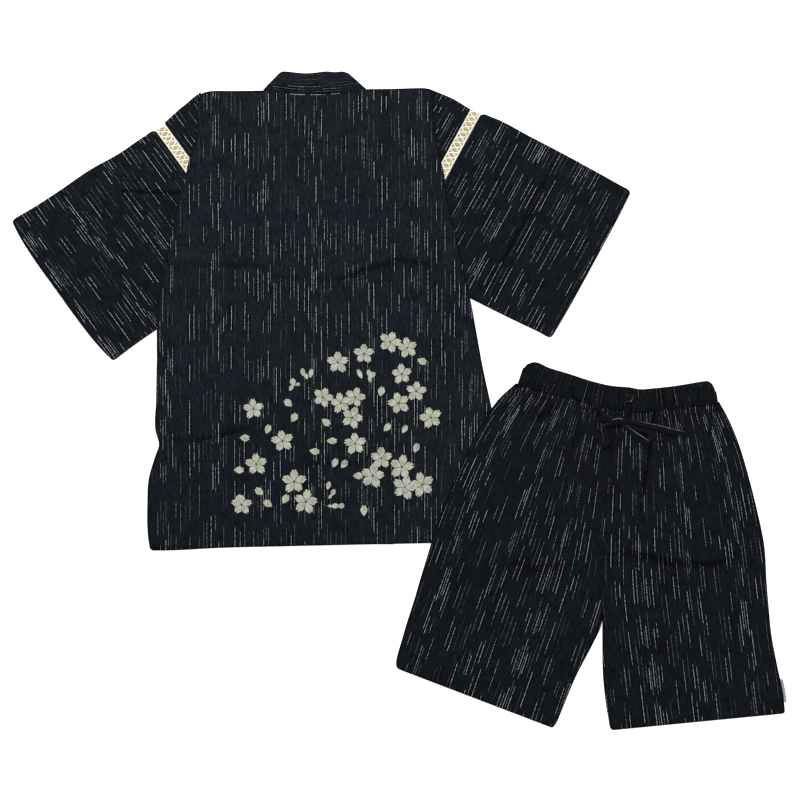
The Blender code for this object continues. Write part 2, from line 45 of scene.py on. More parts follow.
# A layer's upper face lies "top" over the layer's own level, and the layers are "layer" apart.
cloth = {"top": 1.0, "layer": 1.3, "gap": 0.3, "wall": 0.8}


def stacked(*parts):
    # arrays side by side in a new last axis
    return np.stack(np.broadcast_arrays(*parts), axis=-1)


def worldPoints(garment, x, down, height):
    # turned about the garment's origin and moved to its place, in metres
    turn = math.radians(garment["turn"])
    worldX = garment["x"] + x * math.cos(turn) - down * math.sin(turn)
    worldY = garment["y"] - x * math.sin(turn) - down * math.cos(turn)
    return stacked(worldX, worldY, height) * 0.001


# Camera and light, in metres.

view = {
    "distance": 3.2, "width": 1.376, "centreX": 0.0026, "centreY": -0.0009, "focus": 0.005,
    "sensor": 36.0,
}
light = {
    "sky": (1.0, 1.0, 1.0), "skyStrength": 0.5,
    # power, size and place of each lamp
    "lamps": {"key": (240.0, 2.6, (-1.6, 3.6, 2.6)), "fill": (14.0, 2.0, (1.9, -0.8, 2.2))},
}


def placed(name, data, spot=(0.0, 0.0, 0.0)):
    made = bpy.data.objects.new(name, data)
    made.location = spot
    bpy.context.scene.collection.objects.link(made)
    return made


def makeCamera():
    data = bpy.data.cameras.new("overhead")
    data.sensor_width = view["sensor"]
    data.lens = view["sensor"] * view["distance"] / view["width"]
    spot = (view["centreX"], view["centreY"], view["distance"] + view["focus"])
    bpy.context.scene.camera = placed("overhead", data, spot)


def makeAreaLight(name, power, size, spot):
    # a lamp that faces the middle of the table
    data = bpy.data.lights.new(name, "AREA")
    data.energy = power
    data.size = size
    x, y, z = spot
    turn = math.atan2(-y, -x) - math.pi / 2
    placed(name, data, spot).rotation_euler = (math.atan2(math.hypot(x, y), z), 0.0, turn)


def makeLight():
    world = bpy.data.worlds.new("studio")
    world.use_nodes = True
    sky = world.node_tree.nodes["Background"]
    sky.inputs["Color"].default_value = (*light["sky"], 1.0)
    sky.inputs["Strength"].default_value = light["skyStrength"]
    bpy.context.scene.world = world
    bpy.context.scene.view_settings.view_transform = "Standard"
    for name, lamp in light["lamps"].items():
        makeAreaLight(name, *lamp)


makeCamera()
makeLight()
print("camera and lights ready")


# Materials.

def joining(operation, last=False):
    # a method that joins a Math node to a wire, as its first term or its last
    def method(self, *terms):
        return self.maths(operation, *((*terms, self) if last else (self, *terms)))
    return method


class Wire:
    # One socket of a material's tree. Python's operators on it add Math nodes, node() adds any
    # other node, and wire["Name"] is another output of the same node.
    def __init__(self, tree, socket=None):
        self.tree = tree
        self.socket = socket

    def __getitem__(self, name):
        return Wire(self.tree, self.socket.node.outputs[name])

    def fed(self, socket, value):
        # value is a wire, or the constant that stays on the socket
        if isinstance(value, Wire):
            self.tree.links.new(value.socket, socket)
        else:
            socket.default_value = value

    def node(self, kind, settings={}, sockets={}):
        made = self.tree.nodes.new(kind)
        for key, value in settings.items():
            setattr(made, key, value)
        for key, value in sockets.items():
            self.fed(made.inputs[key], value)
        return Wire(self.tree, [socket for socket in made.outputs if socket.enabled][0])

    def maths(self, operation, *terms):
        return self.node("ShaderNodeMath", {"operation": operation}, dict(enumerate(terms)))

    __add__, __radd__ = joining("ADD"), joining("ADD", last=True)
    __sub__, __rsub__ = joining("SUBTRACT"), joining("SUBTRACT", last=True)
    __mul__, __rmul__ = joining("MULTIPLY"), joining("MULTIPLY", last=True)
    __truediv__, __gt__ = joining("DIVIDE"), joining("GREATER_THAN")
    least, most = joining("MINIMUM"), joining("MAXIMUM")
    floor, size = joining("FLOOR"), joining("ABSOLUTE")
    sine, cosine = joining("SINE"), joining("COSINE")

    def between(self, low, high):
        # 0 at low, 1 at high and smooth in the middle
        return self.node("ShaderNodeMapRange", {"interpolation_type": "SMOOTHSTEP"},
                         {"Value": self, "From Min": low, "From Max": high})

    def pair(self, across, along, third=0.0):
        return self.node("ShaderNodeCombineXYZ", {}, {"X": across, "Y": along, "Z": third})

    def grain(self):
        # metres across and along the yarns, from the piece's own map
        parts = self.node("ShaderNodeSeparateXYZ", {},
                          {"Vector": self.node("ShaderNodeUVMap", {"uv_map": "grain"})})
        return parts["X"], parts["Y"]

    def given(self, name):
        # values that the piece carries at its points
        return self.node("ShaderNodeAttribute", {"attribute_name": name})["Fac"]

    def dice(self, across, along):
        # three random numbers for each pair of whole numbers
        spot = self.node("ShaderNodeTexWhiteNoise", {"noise_dimensions": "3D"},
                         {"Vector": self.pair(across, along, 0.5)})
        return self.node("ShaderNodeSeparateColor", {}, {"Color": spot["Color"]})

    def noise(self, across, along, scale, detail=2.0):
        return self.node("ShaderNodeTexNoise", {"noise_dimensions": "2D"},
                         {"Vector": self.pair(across, along), "Scale": scale, "Detail": detail})["Fac"]

    def cloud(self, scale, detail, distortion=0.0):
        # noise in the object's own space
        return self.node("ShaderNodeTexNoise", {}, {
            "Vector": self.node("ShaderNodeTexCoord")["Object"], "Scale": scale, "Detail": detail,
            "Distortion": distortion})["Fac"]

    def bump(self, height, distance):
        return self.node("ShaderNodeBump", {}, {"Height": height, "Distance": distance, "Strength": 1.0})

    def mixed(self, share, first, second):
        # colours, first where share is 0 and second where it is 1
        made = self.tree.nodes.new("ShaderNodeMix")
        made.data_type = "RGBA"
        self.fed(made.inputs[0], share)
        for socket, colour in ((made.inputs[6], first), (made.inputs[7], second)):
            self.fed(socket, colour if isinstance(colour, Wire) else (*colour, 1.0))
        return Wire(self.tree, made.outputs[2])


def newMaterial(name, fixed):
    made = bpy.data.materials.new(name)
    made.use_nodes = True
    shader = made.node_tree.nodes["Principled BSDF"]
    for key, value in fixed.items():
        shader.inputs[key].default_value = value
    return made, Wire(made.node_tree)


def wiredUp(material, wires):
    shader = material.node_tree.nodes["Principled BSDF"]
    for key, wire in wires.items():
        material.node_tree.links.new(wire.socket, shader.inputs[key])
    return material


# Lengths in metres of the cloth's grain, and counts per metre of it.
kasuri = {
    "repeatAcross": 0.0865, "columns": 14, "crowd": 0.34, "crowdAgain": 0.2, "wander": 0.34,
    "repeatAlong": 0.0745, "bands": 0.34, "stagger": 0.34, "shift": 0.45, "slide": 0.12,
    "shortest": 0.13, "spare": 0.27, "missing": 0.26,
    "halfWidth": 0.00016, "softSide": 0.0001, "softEnd": 0.03,
    "beadsAcross": 1150.0, "beads": 430.0, "shade": 0.0046, "shadeDepth": 0.8,
    "faintest": 0.06, "brightest": 2.05, "crowdBright": 0.1,
    "ink": (0.82, 0.89, 0.98),
    "crinkleAcross": 330.0, "crinkleAlong": 80.0, "weave": 1450.0, "bump": 0.00045,
    "bend": 0.003, "bends": 7.0, "mottle": 45.0, "lots": 6.0, "turnedMarks": 0.5, "turnedDark": 0.75,
}


def yarnMarks(wire, across, along, longer):
    # Resist-dyed warp yarns: columns that crowd together once in each repeat, every one with a pale
    # length in each repeat along it. Neighbouring columns share a phase or lie half a repeat apart.
    # Gives the marks and how deep the ground beside them is shaded.
    turn = across * (math.tau / kasuri["repeatAcross"])
    swell, swellAgain = [kasuri[key] * kasuri["columns"] / math.tau for key in ("crowd", "crowdAgain")]
    place = across * (kasuri["columns"] / kasuri["repeatAcross"]) + swell * turn.sine()
    place = place + 0.5 * swellAgain * (2.0 * turn).sine()
    dense = 1.0 + kasuri["crowd"] * turn.cosine() + kasuri["crowdAgain"] * (2.0 * turn).cosine()
    column = place.floor()
    cast = wire.dice(column, 3.0)
    lane = (place - column - 0.5 - kasuri["wander"] * (cast["Green"] - 0.5)).size() / dense
    half, soft, shade = [kasuri[key] * kasuri["columns"] / kasuri["repeatAcross"]
                         for key in ("halfWidth", "softSide", "shade")]
    width = 1.0 - lane.between(half - soft, half + soft)
    band = wire.dice((column * kasuri["bands"]).floor(), 11.0)["Red"] > 0.5
    run = along / kasuri["repeatAlong"] + kasuri["shift"] * band + kasuri["stagger"] * cast["Red"]
    step = run.floor()
    chance = wire.dice(column, step + 40.0)
    reach = longer * (kasuri["shortest"] + kasuri["spare"] * chance["Red"])
    offset = (run - step - 0.5 - kasuri["slide"] * (chance["Green"] - 0.5)).size()
    length = 1.0 - offset.between(reach - kasuri["softEnd"], reach + kasuri["softEnd"])
    shown = chance["Blue"] > kasuri["missing"]
    bright = chance["Blue"] * chance["Blue"] * (0.35 + 0.65 * chance["Blue"])
    strength = kasuri["faintest"] + kasuri["brightest"] * bright * (0.3 + 0.7 * cast["Blue"])
    strength = strength + kasuri["crowdBright"] * dense.between(0.9, 1.7)
    beside = 1.0 - lane.between(half, shade)
    present = length * shown * strength
    return present * width, kasuri["shadeDepth"] * (beside * present * 1.6).least(1.0)


def wovenRise(across, along):
    # over and under of a plain weave, from -1 to 1
    return (across * kasuri["weave"] * math.tau).sine() * (along * kasuri["weave"] * math.tau).sine()


def kasuriCotton(name, base, markStrength, drift=0.3, longer=1.0):
    # Navy cotton that drifts a little between a neutral and a bluer dye, with shade painted on where
    # the "turned" attribute says that it lies in a hollow or turns down at an edge.
    material, wire = newMaterial(name, {
        "Roughness": 0.95, "Specular IOR Level": 0.06, "Sheen Weight": 0.05, "Sheen Roughness": 0.45,
    })
    across, along = wire.grain()
    turned = wire.given("turned")
    bend = kasuri["bend"] * (wire.noise(across, along, kasuri["bends"], 1.0) - 0.5)
    marks, shaded = yarnMarks(wire, across + bend, along, longer)
    beads = wire.dice((across * kasuri["beadsAcross"]).floor(), (along * kasuri["beads"]).floor())["Red"]
    # the "turned" attribute's painted shade dims the marks here and the ground below
    marks = marks * (0.25 + beads.between(0.1, 0.8)) * (1.0 - kasuri["turnedMarks"] * turned) * markStrength
    crinkle = wire.noise(across * kasuri["crinkleAcross"], along * kasuri["crinkleAlong"], 1.0, 3.0)
    mottle = wire.noise(across, along, kasuri["mottle"], 3.0)
    tone = (1.0 + 2.2 * (crinkle - 0.5) + (mottle - 0.5)).most(0.3)
    tone = tone * (1.0 - kasuri["turnedDark"] * turned) * (1.0 - shaded)
    lot = wire.noise(across, along, kasuri["lots"], 1.0).between(0.3, 0.7)
    red, green, blue = base
    dyed = wire.mixed(lot, (red * (1.0 + 0.04 * drift), green, blue * (1.0 - 0.14 * drift)),
                      (red * (1.0 - 0.04 * drift), green, blue * (1.0 + 0.2 * drift)))
    ground = wire.node("ShaderNodeVectorMath", {"operation": "SCALE"}, {"Vector": dyed, "Scale": tone})
    height = crinkle + 0.12 * wovenRise(across, along) + 0.1 * marks
    return wiredUp(material, {"Base Color": wire.mixed(marks, ground, kasuri["ink"]),
                              "Normal": wire.bump(height, kasuri["bump"])})


fabric = {
    "back": kasuriCotton("kasuri cotton, back", (0.0077, 0.0100, 0.0139), 1.15, 0.45),
    "sleeve": kasuriCotton("kasuri cotton, sleeves", (0.0053, 0.0069, 0.0094), 1.15, 0.3, 1.1),
    "shorts": kasuriCotton("kasuri cotton, shorts", (0.0048, 0.0063, 0.0088), 1.05, 0.3, 1.1),
    "band": kasuriCotton("kasuri cotton, waistband", (0.0044, 0.0060, 0.0078), 0.24),
    "collar": kasuriCotton("kasuri cotton, collar", (0.0090, 0.0117, 0.0173), 0.36, 0.5),
}


def tapeCotton():
    # Near-black ribbed tape, with a painted highlight on its edge where the "glint" attribute says so.
    material, wire = newMaterial("drawstring tape", {
        "Roughness": 0.9, "Specular IOR Level": 0.06, "Sheen Weight": 0.04, "Sheen Roughness": 0.5,
    })
    across, along = wire.grain()
    beads = wire.dice((along * 520.0).floor(), 5.0)["Red"]
    rib = 0.5 + 0.5 * (along * (1100.0 * math.tau)).sine()
    fuzz = wire.noise(across, along, 900.0, 2.0)
    ground = wire.mixed(0.3 + 0.9 * fuzz + 0.25 * rib, (0.0008, 0.0011, 0.0016), (0.0042, 0.0053, 0.0070))
    colour = wire.mixed(wire.given("glint") * (0.2 + 0.8 * beads), ground, kasuri["ink"])
    return wiredUp(material, {"Base Color": colour, "Normal": wire.bump(rib + fuzz, 0.00015)})


print("cotton ready")

# Curves and surfaces.

def ramp(value):
    # 0 below 0, 1 above 1 and a smooth step between them
    held = np.clip(value, 0.0, 1.0)
    return held * held * (3.0 - 2.0 * held)


def hill(distance, width):
    return np.exp(-(distance / width) ** 2)


def smoothTable(table, wanted):
    # cubic curve through the table's rows, read at the wanted shares of its length or, for a whole
    # number, at so many even steps
    rows = np.array(table, dtype=float)
    steps = np.linalg.norm(np.diff(rows, axis=0), axis=1)
    station = np.concatenate([[0.0], np.cumsum(steps)]) / steps.sum()
    slope = np.gradient(rows, station, axis=0)
    wanted = np.linspace(0.0, 1.0, wanted) if isinstance(wanted, int) else np.asarray(wanted)
    seat = np.clip(np.searchsorted(station, wanted, side="right") - 1, 0, len(station) - 2)
    span = (station[seat + 1] - station[seat])[..., None]
    t = (wanted - station[seat])[..., None] / span
    start = (2 * t**3 - 3 * t**2 + 1) * rows[seat] + (t**3 - 2 * t**2 + t) * span * slope[seat]
    return start + (3 * t**2 - 2 * t**3) * rows[seat + 1] + (t**3 - t**2) * span * slope[seat + 1]


def evenShares(count, rim):
    # count steps from 0 to 1, and one more a rim's width from either end
    return np.sort(np.concatenate([np.linspace(0.0, 1.0, count + 1), [rim, 1.0 - rim]]))


def spread(sections, downShares, acrossShares, cornerRound=0.0):
    # grid between the left and right ends (x, down, x, down) of the smoothed sections, with the two
    # corners at its hem rounded
    ends = smoothTable(sections, downShares)
    if cornerRound:
        fromHem = np.hypot(ends[:, 0] - ends[-1, 0], ends[:, 1] - ends[-1, 1])[:, None]
        width = np.hypot(ends[:, 2] - ends[:, 0], ends[:, 3] - ends[:, 1])[:, None]
        near = np.clip(1.0 - fromHem / cornerRound, 0.0, 1.0)
        inset = cornerRound * (1.0 - np.sqrt(1.0 - near**2)) / width
        acrossShares = 0.5 + (acrossShares - 0.5) * (1.0 - 2.0 * inset)
    x = ends[:, 0:1] + (ends[:, 2:3] - ends[:, 0:1]) * acrossShares
    down = ends[:, 1:2] + (ends[:, 3:4] - ends[:, 1:2]) * acrossShares
    return x, down


def outlineOf(sections):
    return [row[:2] for row in sections] + [row[2:] for row in reversed(sections)]


def toLine(x, down, line, closed=False):
    # distance to the nearest place on a line of straight runs, and that place's share of it
    points = np.array(line, dtype=float)
    if closed:
        points = np.concatenate([points, points[:1]])
    lengths = np.linalg.norm(np.diff(points, axis=0), axis=1)
    before = np.concatenate([[0.0], np.cumsum(lengths)])
    nearest = np.full(np.shape(x), np.inf)
    share = np.zeros(np.shape(x))
    for (ax, ay), (bx, by), length, start in zip(points, points[1:], lengths, before):
        t = np.clip(((x - ax) * (bx - ax) + (down - ay) * (by - ay)) / length**2, 0.0, 1.0)
        distance = np.hypot(x - ax - t * (bx - ax), down - ay - t * (by - ay))
        share = np.where(distance < nearest, (start + t * length) / before[-1], share)
        nearest = np.minimum(nearest, distance)
    return nearest, share


def depthInside(x, down, outline):
    # distance to a closed outline, positive inside it
    inside = np.zeros(np.shape(x), dtype=bool)
    corners = np.array(outline, dtype=float)
    for (ax, ay), (bx, by) in zip(corners, np.roll(corners, -1, axis=0)):
        if by != ay:
            crosses = (ay > down) != (by > down)
            inside ^= crosses & (x < ax + (bx - ax) * (down - ay) / (by - ay))
    nearest = toLine(x, down, outline, closed=True)[0]
    return np.where(inside, nearest, -nearest)


def creaseRise(x, down, creases, taper=False):
    # Soft ridges, or troughs, along lines: each has a width, a rise and the points of its line. With
    # taper they die away towards both ends.
    total = np.zeros(np.shape(x))
    for width, rise, line in creases:
        distance, share = toLine(x, down, line)
        strength = np.sin(np.pi * np.clip(share, 0.02, 0.98)) ** 0.6 if taper else 1.0
        total = total + rise * strength * hill(distance, width)
    return total


def softNoise(x, y, size, seed):
    # smooth random hills and hollows of a size, from -1 to 1
    dice = np.random.default_rng(seed).uniform(-1.0, 1.0, (64, 64))
    column, row = np.floor(x / size), np.floor(y / size)
    a, b = ramp(x / size - column), ramp(y / size - row)
    i, j = column.astype(int) % 64, row.astype(int) % 64
    k, m = (i + 1) % 64, (j + 1) % 64
    upper = dice[i, j] * (1 - a) + dice[k, j] * a
    lower = dice[i, m] * (1 - a) + dice[k, m] * a
    return upper * (1 - b) + lower * b


def rumple(x, down, seed):
    # how unevenly a cloth lies: broad swells with smaller ones on them
    broad = 0.38 * softNoise(x, down, 105.0, seed) + 0.2 * softNoise(x, down, 43.0, seed + 1)
    return broad + 0.1 * softNoise(x, down * 0.5, 17.0, seed + 2)


def newPiece(name, shapes, materials):
    # One smooth mesh of shapes, with a material each. A shape is its points, arrays of faces, and the
    # grain at the faces' corners, in metres across and along the yarns.
    mesh = bpy.data.meshes.new(name)
    faces, slots, start = [], [], 0
    for slot, (points, groups, _) in enumerate(shapes):
        for group in groups:
            faces += (group + start).tolist()
            slots += [slot] * len(group)
        start += len(points)
    mesh.from_pydata(np.concatenate([shape[0] for shape in shapes]).tolist(), [], faces)
    grain = np.concatenate([shape[2] for shape in shapes])
    mesh.uv_layers.new(name="grain").data.foreach_set("uv", grain.ravel())
    for material in materials:
        mesh.materials.append(material)
    mesh.polygons.foreach_set("material_index", slots)
    mesh.update()
    mesh.shade_smooth()
    return placed(name, mesh)


def gridShape(points, grain, looped=False, flipped=False):
    # Surface through a grid of points, with grain in mm. A looped grid joins its last column to its
    # first, and its grain has a column more.
    rows, columns = points.shape[:2]
    last = columns if looped else columns - 1
    index = np.arange(rows * columns).reshape(rows, columns)
    beside = np.roll(index, -1, axis=1)
    faces = np.stack([index[:-1, :last], index[1:, :last], beside[1:, :last], beside[:-1, :last]], axis=-1)
    ends = slice(1, last + 1)
    corners = np.stack([grain[:-1, :last], grain[1:, :last], grain[1:, ends], grain[:-1, ends]], axis=2)
    if flipped:
        faces, corners = faces[..., ::-1], corners[:, :, ::-1]
    return points.reshape(-1, 3), [faces.reshape(-1, 4)], corners.reshape(-1, 2) * 0.001


def capped(shape, sides):
    # closes the two ends of a tube of rings
    points, groups, corners = shape
    ring = np.arange(sides)
    caps = np.stack([ring[::-1], len(points) - sides + ring])
    return points, groups + [caps], np.concatenate([corners, np.repeat(corners[[0, -1]], sides, axis=0)])


def clothPiece(garment, name, place, grain, material, *nodes, wall=cloth["wall"], slot="navy_cotton",
               looped=False, flipped=False):
    # shell on a grid of places (x, down, height) with its grain (across, along), for the nodes
    points = worldPoints(garment, *place)
    piece = newPiece(name, [gridShape(points, stacked(*grain), looped, flipped)], [material])
    if wall:
        thickness = piece.modifiers.new("wall", "SOLIDIFY")
        thickness.thickness = wall * 0.001
        thickness.offset = -1.0
    return settle(piece, *nodes, slot=slot)


def framed(ahead):
    # the level side and the upward normal of each direction
    ahead = ahead / np.linalg.norm(ahead, axis=-1, keepdims=True)
    side = np.cross(ahead, [0.0, 0.0, 1.0])
    side = side / np.maximum(np.linalg.norm(side, axis=-1, keepdims=True), 1e-9)
    return side, np.cross(side, ahead)


def tubeShape(paths, radii, sides=6, closed=False):
    # Tubes along paths (count, steps, 3): rings of points round each step, wide and high by radii
    # (..., 2), with capped ends unless the paths are closed.
    count, steps = paths.shape[:2]
    side, lift = framed(np.roll(paths, -1, axis=1) - np.roll(paths, 1, axis=1) if closed
                        else np.gradient(paths, axis=1))
    turn = np.arange(sides) * math.tau / sides
    radii = np.broadcast_to(radii, (count, steps, 2)) * 0.001
    ring = radii[:, :, None, 0:1] * side[:, :, None] * np.cos(turn)[:, None]
    ring = ring + radii[:, :, None, 1:2] * lift[:, :, None] * np.sin(turn)[:, None]
    points = paths[:, :, None] + ring
    index = np.arange(count * steps * sides).reshape(count, steps, sides)
    beside = np.roll(index, -1, axis=2)
    if closed:
        onward, onwardBeside = np.roll(index, -1, axis=1), np.roll(beside, -1, axis=1)
        walls = np.stack([index, beside, onwardBeside, onward], axis=-1)
    else:
        walls = np.stack([index[:, :-1], beside[:, :-1], beside[:, 1:], index[:, 1:]], axis=-1)
    groups = [walls.reshape(-1, 4)[:, ::-1]]
    if not closed:
        groups.append(np.concatenate([index[:, 0], index[:, -1, ::-1]]))
    corner = np.concatenate([group.ravel() for group in groups])
    return points.reshape(-1, 3), groups, stacked(corner % sides, corner // sides) * 0.001


def carry(piece, name, values):
    # a value at each point of the piece, for its material
    layer = piece.data.attributes.new(name, "FLOAT", "POINT")
    layer.data.foreach_set("value", np.ascontiguousarray(values, dtype=float).ravel())
    return piece


def paintShade(piece, dips, depth, rim=4.5, shade=0.0):
    # painted shade, from 0 to 1: in the cloth's dips, mm deep, where it turns down at an edge, and as given
    dark = np.clip((dips - 0.2) / 1.1, 0.0, 1.0) + 1.0 - ramp(depth / rim) + shade
    return carry(piece, "turned", np.clip(dark, 0.0, 1.0))


def settle(piece, *nodes, slot="navy_cotton"):
    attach(piece, "root")
    if nodes:
        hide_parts(*nodes)
    return piece


def hemRise(fromHem, width, rise=0.3, dip=0.28, dipWidth=1.3):
    # a doubled hem stands up, with a dip along its stitches
    return rise * ramp((width - fromHem) / 1.5) - dip * hill(fromHem - width, dipWidth)


stitches = {
    "pitch": 3.2, "length": 2.3, "radius": 0.22, "at": [-0.5, -0.3, 0.0, 0.3, 0.5],
    "rise": [-0.25, -0.02, 0.1, -0.02, -0.25], "thickness": [0.35, 0.9, 1.0, 0.9, 0.35],
}


def runAlong(line):
    # how far along a line each of its points lies
    return np.concatenate([[0.0], np.cumsum(np.linalg.norm(np.diff(line, axis=0), axis=1))])


def stitched(garment, name, lines, material):
    # stitches in rows: each line is points (x, down, height) that the row follows at an even pitch
    strands = []
    for line in lines:
        run = runAlong(line)
        middles = np.arange(stitches["pitch"] / 2, run[-1], stitches["pitch"])
        at = middles[:, None] + np.array(stitches["at"]) * stitches["length"]
        strands.append(np.stack([np.interp(at, run, line[:, k]) for k in range(3)], axis=-1))
    x, down, height = np.moveaxis(np.concatenate(strands), -1, 0)
    paths = worldPoints(garment, x, down, height + np.array(stitches["rise"]))
    radii = np.array(stitches["thickness"])[:, None] * stitches["radius"] * np.ones(2)
    return settle(newPiece(name, [tubeShape(paths, radii, sides=5)], [material]))


# Jacket back.

jacketBack = {
    "shoulders": [
        (-170, -1.9, 184, -6.7), (-184, -0.5, 194, -5.8), (-193, 2.6, 200, -2.4), (-197.5, 8, 203, 4),
        (-199, 19, 203.5, 19),
    ],
    "sections": [
        (-193, -2, 203, -6.5), (-199, 19, 203, 19), (-200, 53, 205, 53), (-204, 84, 210, 84),
        (-216, 117, 217, 117), (-220, 138, 222, 138), (-234, 191, 230, 191), (-245, 240, 242, 240),
        (-255, 291, 253, 291), (-269, 361, 269, 361), (-271, 409, 278, 409), (-272, 470, 289, 470),
        (-273, 530, 302, 530), (-274, 582, 314, 582), (-268, 607, 318, 607), (-275, 628, 320, 628),
        (-286, 668, 325, 668), (-288, 705, 328, 705), (-286, 770, 329, 760), (-283, 787, 328, 773.5),
    ],
    "rows": 196, "columns": 148,
    "neckHalf": 89.0, "neckDip": 9.0, "rumpleLift": 0.25,
    "belly": 2.2, "bellyReach": 90.0,
    "tuckLevel": 6.5, "tuckMargin": 24.0, "tuckRamp": 24.0,
    "slitFrom": 582.0, "hem": 15.0, "slitHem": 9.0, "cornerRound": 5.0,
    "hemSag": [(60.0, 2.6, -250.0), (90.0, -1.3, -20.0)],  # width, fall and x of each
    "edgeDrop": 0.75, "edgeRound": 3.5,
    "darkCorner": {"from": 380.0, "over": 300.0, "rightTo": 230.0, "leftOver": 330.0, "shade": 0.26},
    "creases": [
        (13, 1.6, [(-252, 289), (-102, 289), (-68, 315), (3, 320), (73, 303), (144, 280), (249, 306)]),
        (13, 1.5, [(-269, 592), (-207, 592), (-156, 580), (-94, 566)]),
        (13, 1.4, [(-49, 631), (73, 631), (144, 600), (249, 605)]),
        (13, 0.7, [(-111, 114), (-107, 229)]),
    ],
    "fineCreases": [
        (5, -1.3, [(-250, 297), (-170, 300), (-104, 298), (-70, 317), (-10, 323)]),
        (5, -1.3, [(5, 322), (50, 320), (100, 303), (146, 289), (215, 300)]),
        (4, -1.5, [(-268, 600), (-206, 600), (-150, 588), (-92, 573)]),
        (5, -0.9, [(-45, 639), (70, 640), (143, 609), (240, 613)]),
        (6, 0.6, [(-76, 210), (-78, 330), (-74, 470), (-79, 640)]),
        (4, -0.7, [(-118, 120), (-114, 232)]),
        (8, 0.4, [(96, 60), (104, 190), (99, 290)]),
        (6, 0.35, [(-240, 452), (-150, 440), (-60, 449)]),
        (7, 0.35, [(30, 470), (130, 455), (270, 462)]),
        (7, 0.4, [(-190, 40), (-150, 96), (-128, 170)]),
        (7, 0.4, [(196, 40), (170, 110), (150, 190)]),
        (6, 0.3, [(-262, 690), (-180, 700), (-90, 694)]),
        (7, 0.35, [(300, 640), (210, 690), (120, 700)]),
    ],
}
sleeves = {
    "flat": 3.6, "puff": 1.4, "foldRound": 2.0, "cuffOut": 291.0, "bowFrom": 180.0, "hem": 11.0,
    "length": 290.0,
    "left": {
        "side": -1, "x": -274.3, "down": 65.4, "droop": 35.9, "bow": 7.0, "grainFrom": 930.0,
        "sleeve": [(0, 3, 287), (2.5, -0.6, 289.6), (20, -2.6, 289), (72, -4.3, 286), (131, -11, 282),
                   (194, -12.7, 280), (255, -16, 279), (279, -18.4, 279.4), (286.5, -18.7, 279.6),
                   (290.2, -17.4, 278.6), (291.9, -15.4, 276.6), (292.8, -13.2, 274.4)],
        "shoulder": [(-101, -7, 30), (-88, -7, 60), (-73, -5.8, 92), (-50, -4.4, 190), (-20, -1.2, 277)],
        "creases": [(13, 0.9, [(108, 52), (25, 120)])],
        "fineCreases": [
            (2.6, -2.4, [(112, 47), (70, 82), (24, 118), (4, 134)]),
            (3.6, 1.1, [(108, 41), (66, 76), (22, 110)]),
            (9, 0.5, [(200, 30), (150, 120), (140, 210)]),
            (11, 0.45, [(270, 60), (190, 170), (80, 240)]),
            (7, 0.4, [(255, 180), (180, 250)]),
            (6, 0.35, [(60, 20), (40, 70)]),
        ],
    },
    "right": {
        "side": 1, "x": 285.3, "down": 40.2, "droop": 28.6, "bow": 2.0, "grainFrom": 1783.0,
        "sleeve": [(0, -0.4, 288), (2.5, -4, 290.4), (20, -7.6, 290), (90, -9.7, 286), (150, -10.8, 284.5),
                   (223, -11, 281.5), (275, -10.4, 279), (284.4, -10.4, 279), (288.2, -9, 277.6),
                   (290, -6.6, 275.2), (290.9, -3.6, 272.2)],
        "shoulder": [(-101, 2, 30), (-72, -1.4, 95), (-50, -3, 190), (-20, -1.8, 277)],
        "creases": [(13, 0.9, [(161, 20), (159, 240)])],
        "fineCreases": [
            (3.4, -2.2, [(151, -4), (154, 120), (154, 278)]),
            (4.5, 0.8, [(142, 4), (145, 120), (145, 256)]),
            (9, 0.5, [(60, 60), (70, 150), (40, 230)]),
            (10, 0.45, [(250, 40), (225, 140), (240, 240)]),
            (7, 0.35, [(110, 190), (200, 205)]),
            (7, 0.35, [(20, 120), (95, 100)]),
        ],
    },
}


def fromArmhole(arm, out, along):
    # jacket x and down of a place out along a sleeve and down along its armhole seam
    droop = math.radians(arm["droop"])
    x = arm["x"] + arm["side"] * (out * math.cos(droop) - along * math.sin(droop))
    down = arm["down"] + out * math.sin(droop) + along * math.cos(droop)
    return x, down


def tuckedOutline(arm, underarm):
    # what of a shoulder part and a sleeve lies folded in under the back
    rows = smoothTable(arm["shoulder"], 9)
    inner = [fromArmhole(arm, out, bottom) for out, _, bottom in rows]
    top = fromArmhole(arm, *arm["shoulder"][0][:2])
    corner = fromArmhole(arm, arm["sleeve"][0][0], arm["sleeve"][0][2])
    return [top] + inner + [corner, underarm]


# the back's edges, with its top corners rounded
backRows = jacketBack["shoulders"] + jacketBack["sections"][2:]
backOutline = outlineOf(backRows)
tuckedOutlines = [tuckedOutline(sleeves["left"], (-273, 412)), tuckedOutline(sleeves["right"], (271, 360))]


def overBody(x, down, margin, reach):
    # 1 over the jacket's body and a margin round it, easing to 0 across the reach beyond
    return ramp((depthInside(x, down, backOutline) + margin + reach) / reach)


def neckDip(x):
    return jacketBack["neckDip"] * np.clip(1.0 - (x / jacketBack["neckHalf"]) ** 2, 0.0, None)


def neckSeam(x):
    leftX, leftDown, rightX, rightDown = jacketBack["sections"][0]
    return leftDown + (x - leftX) / (rightX - leftX) * (rightDown - leftDown) + neckDip(x)


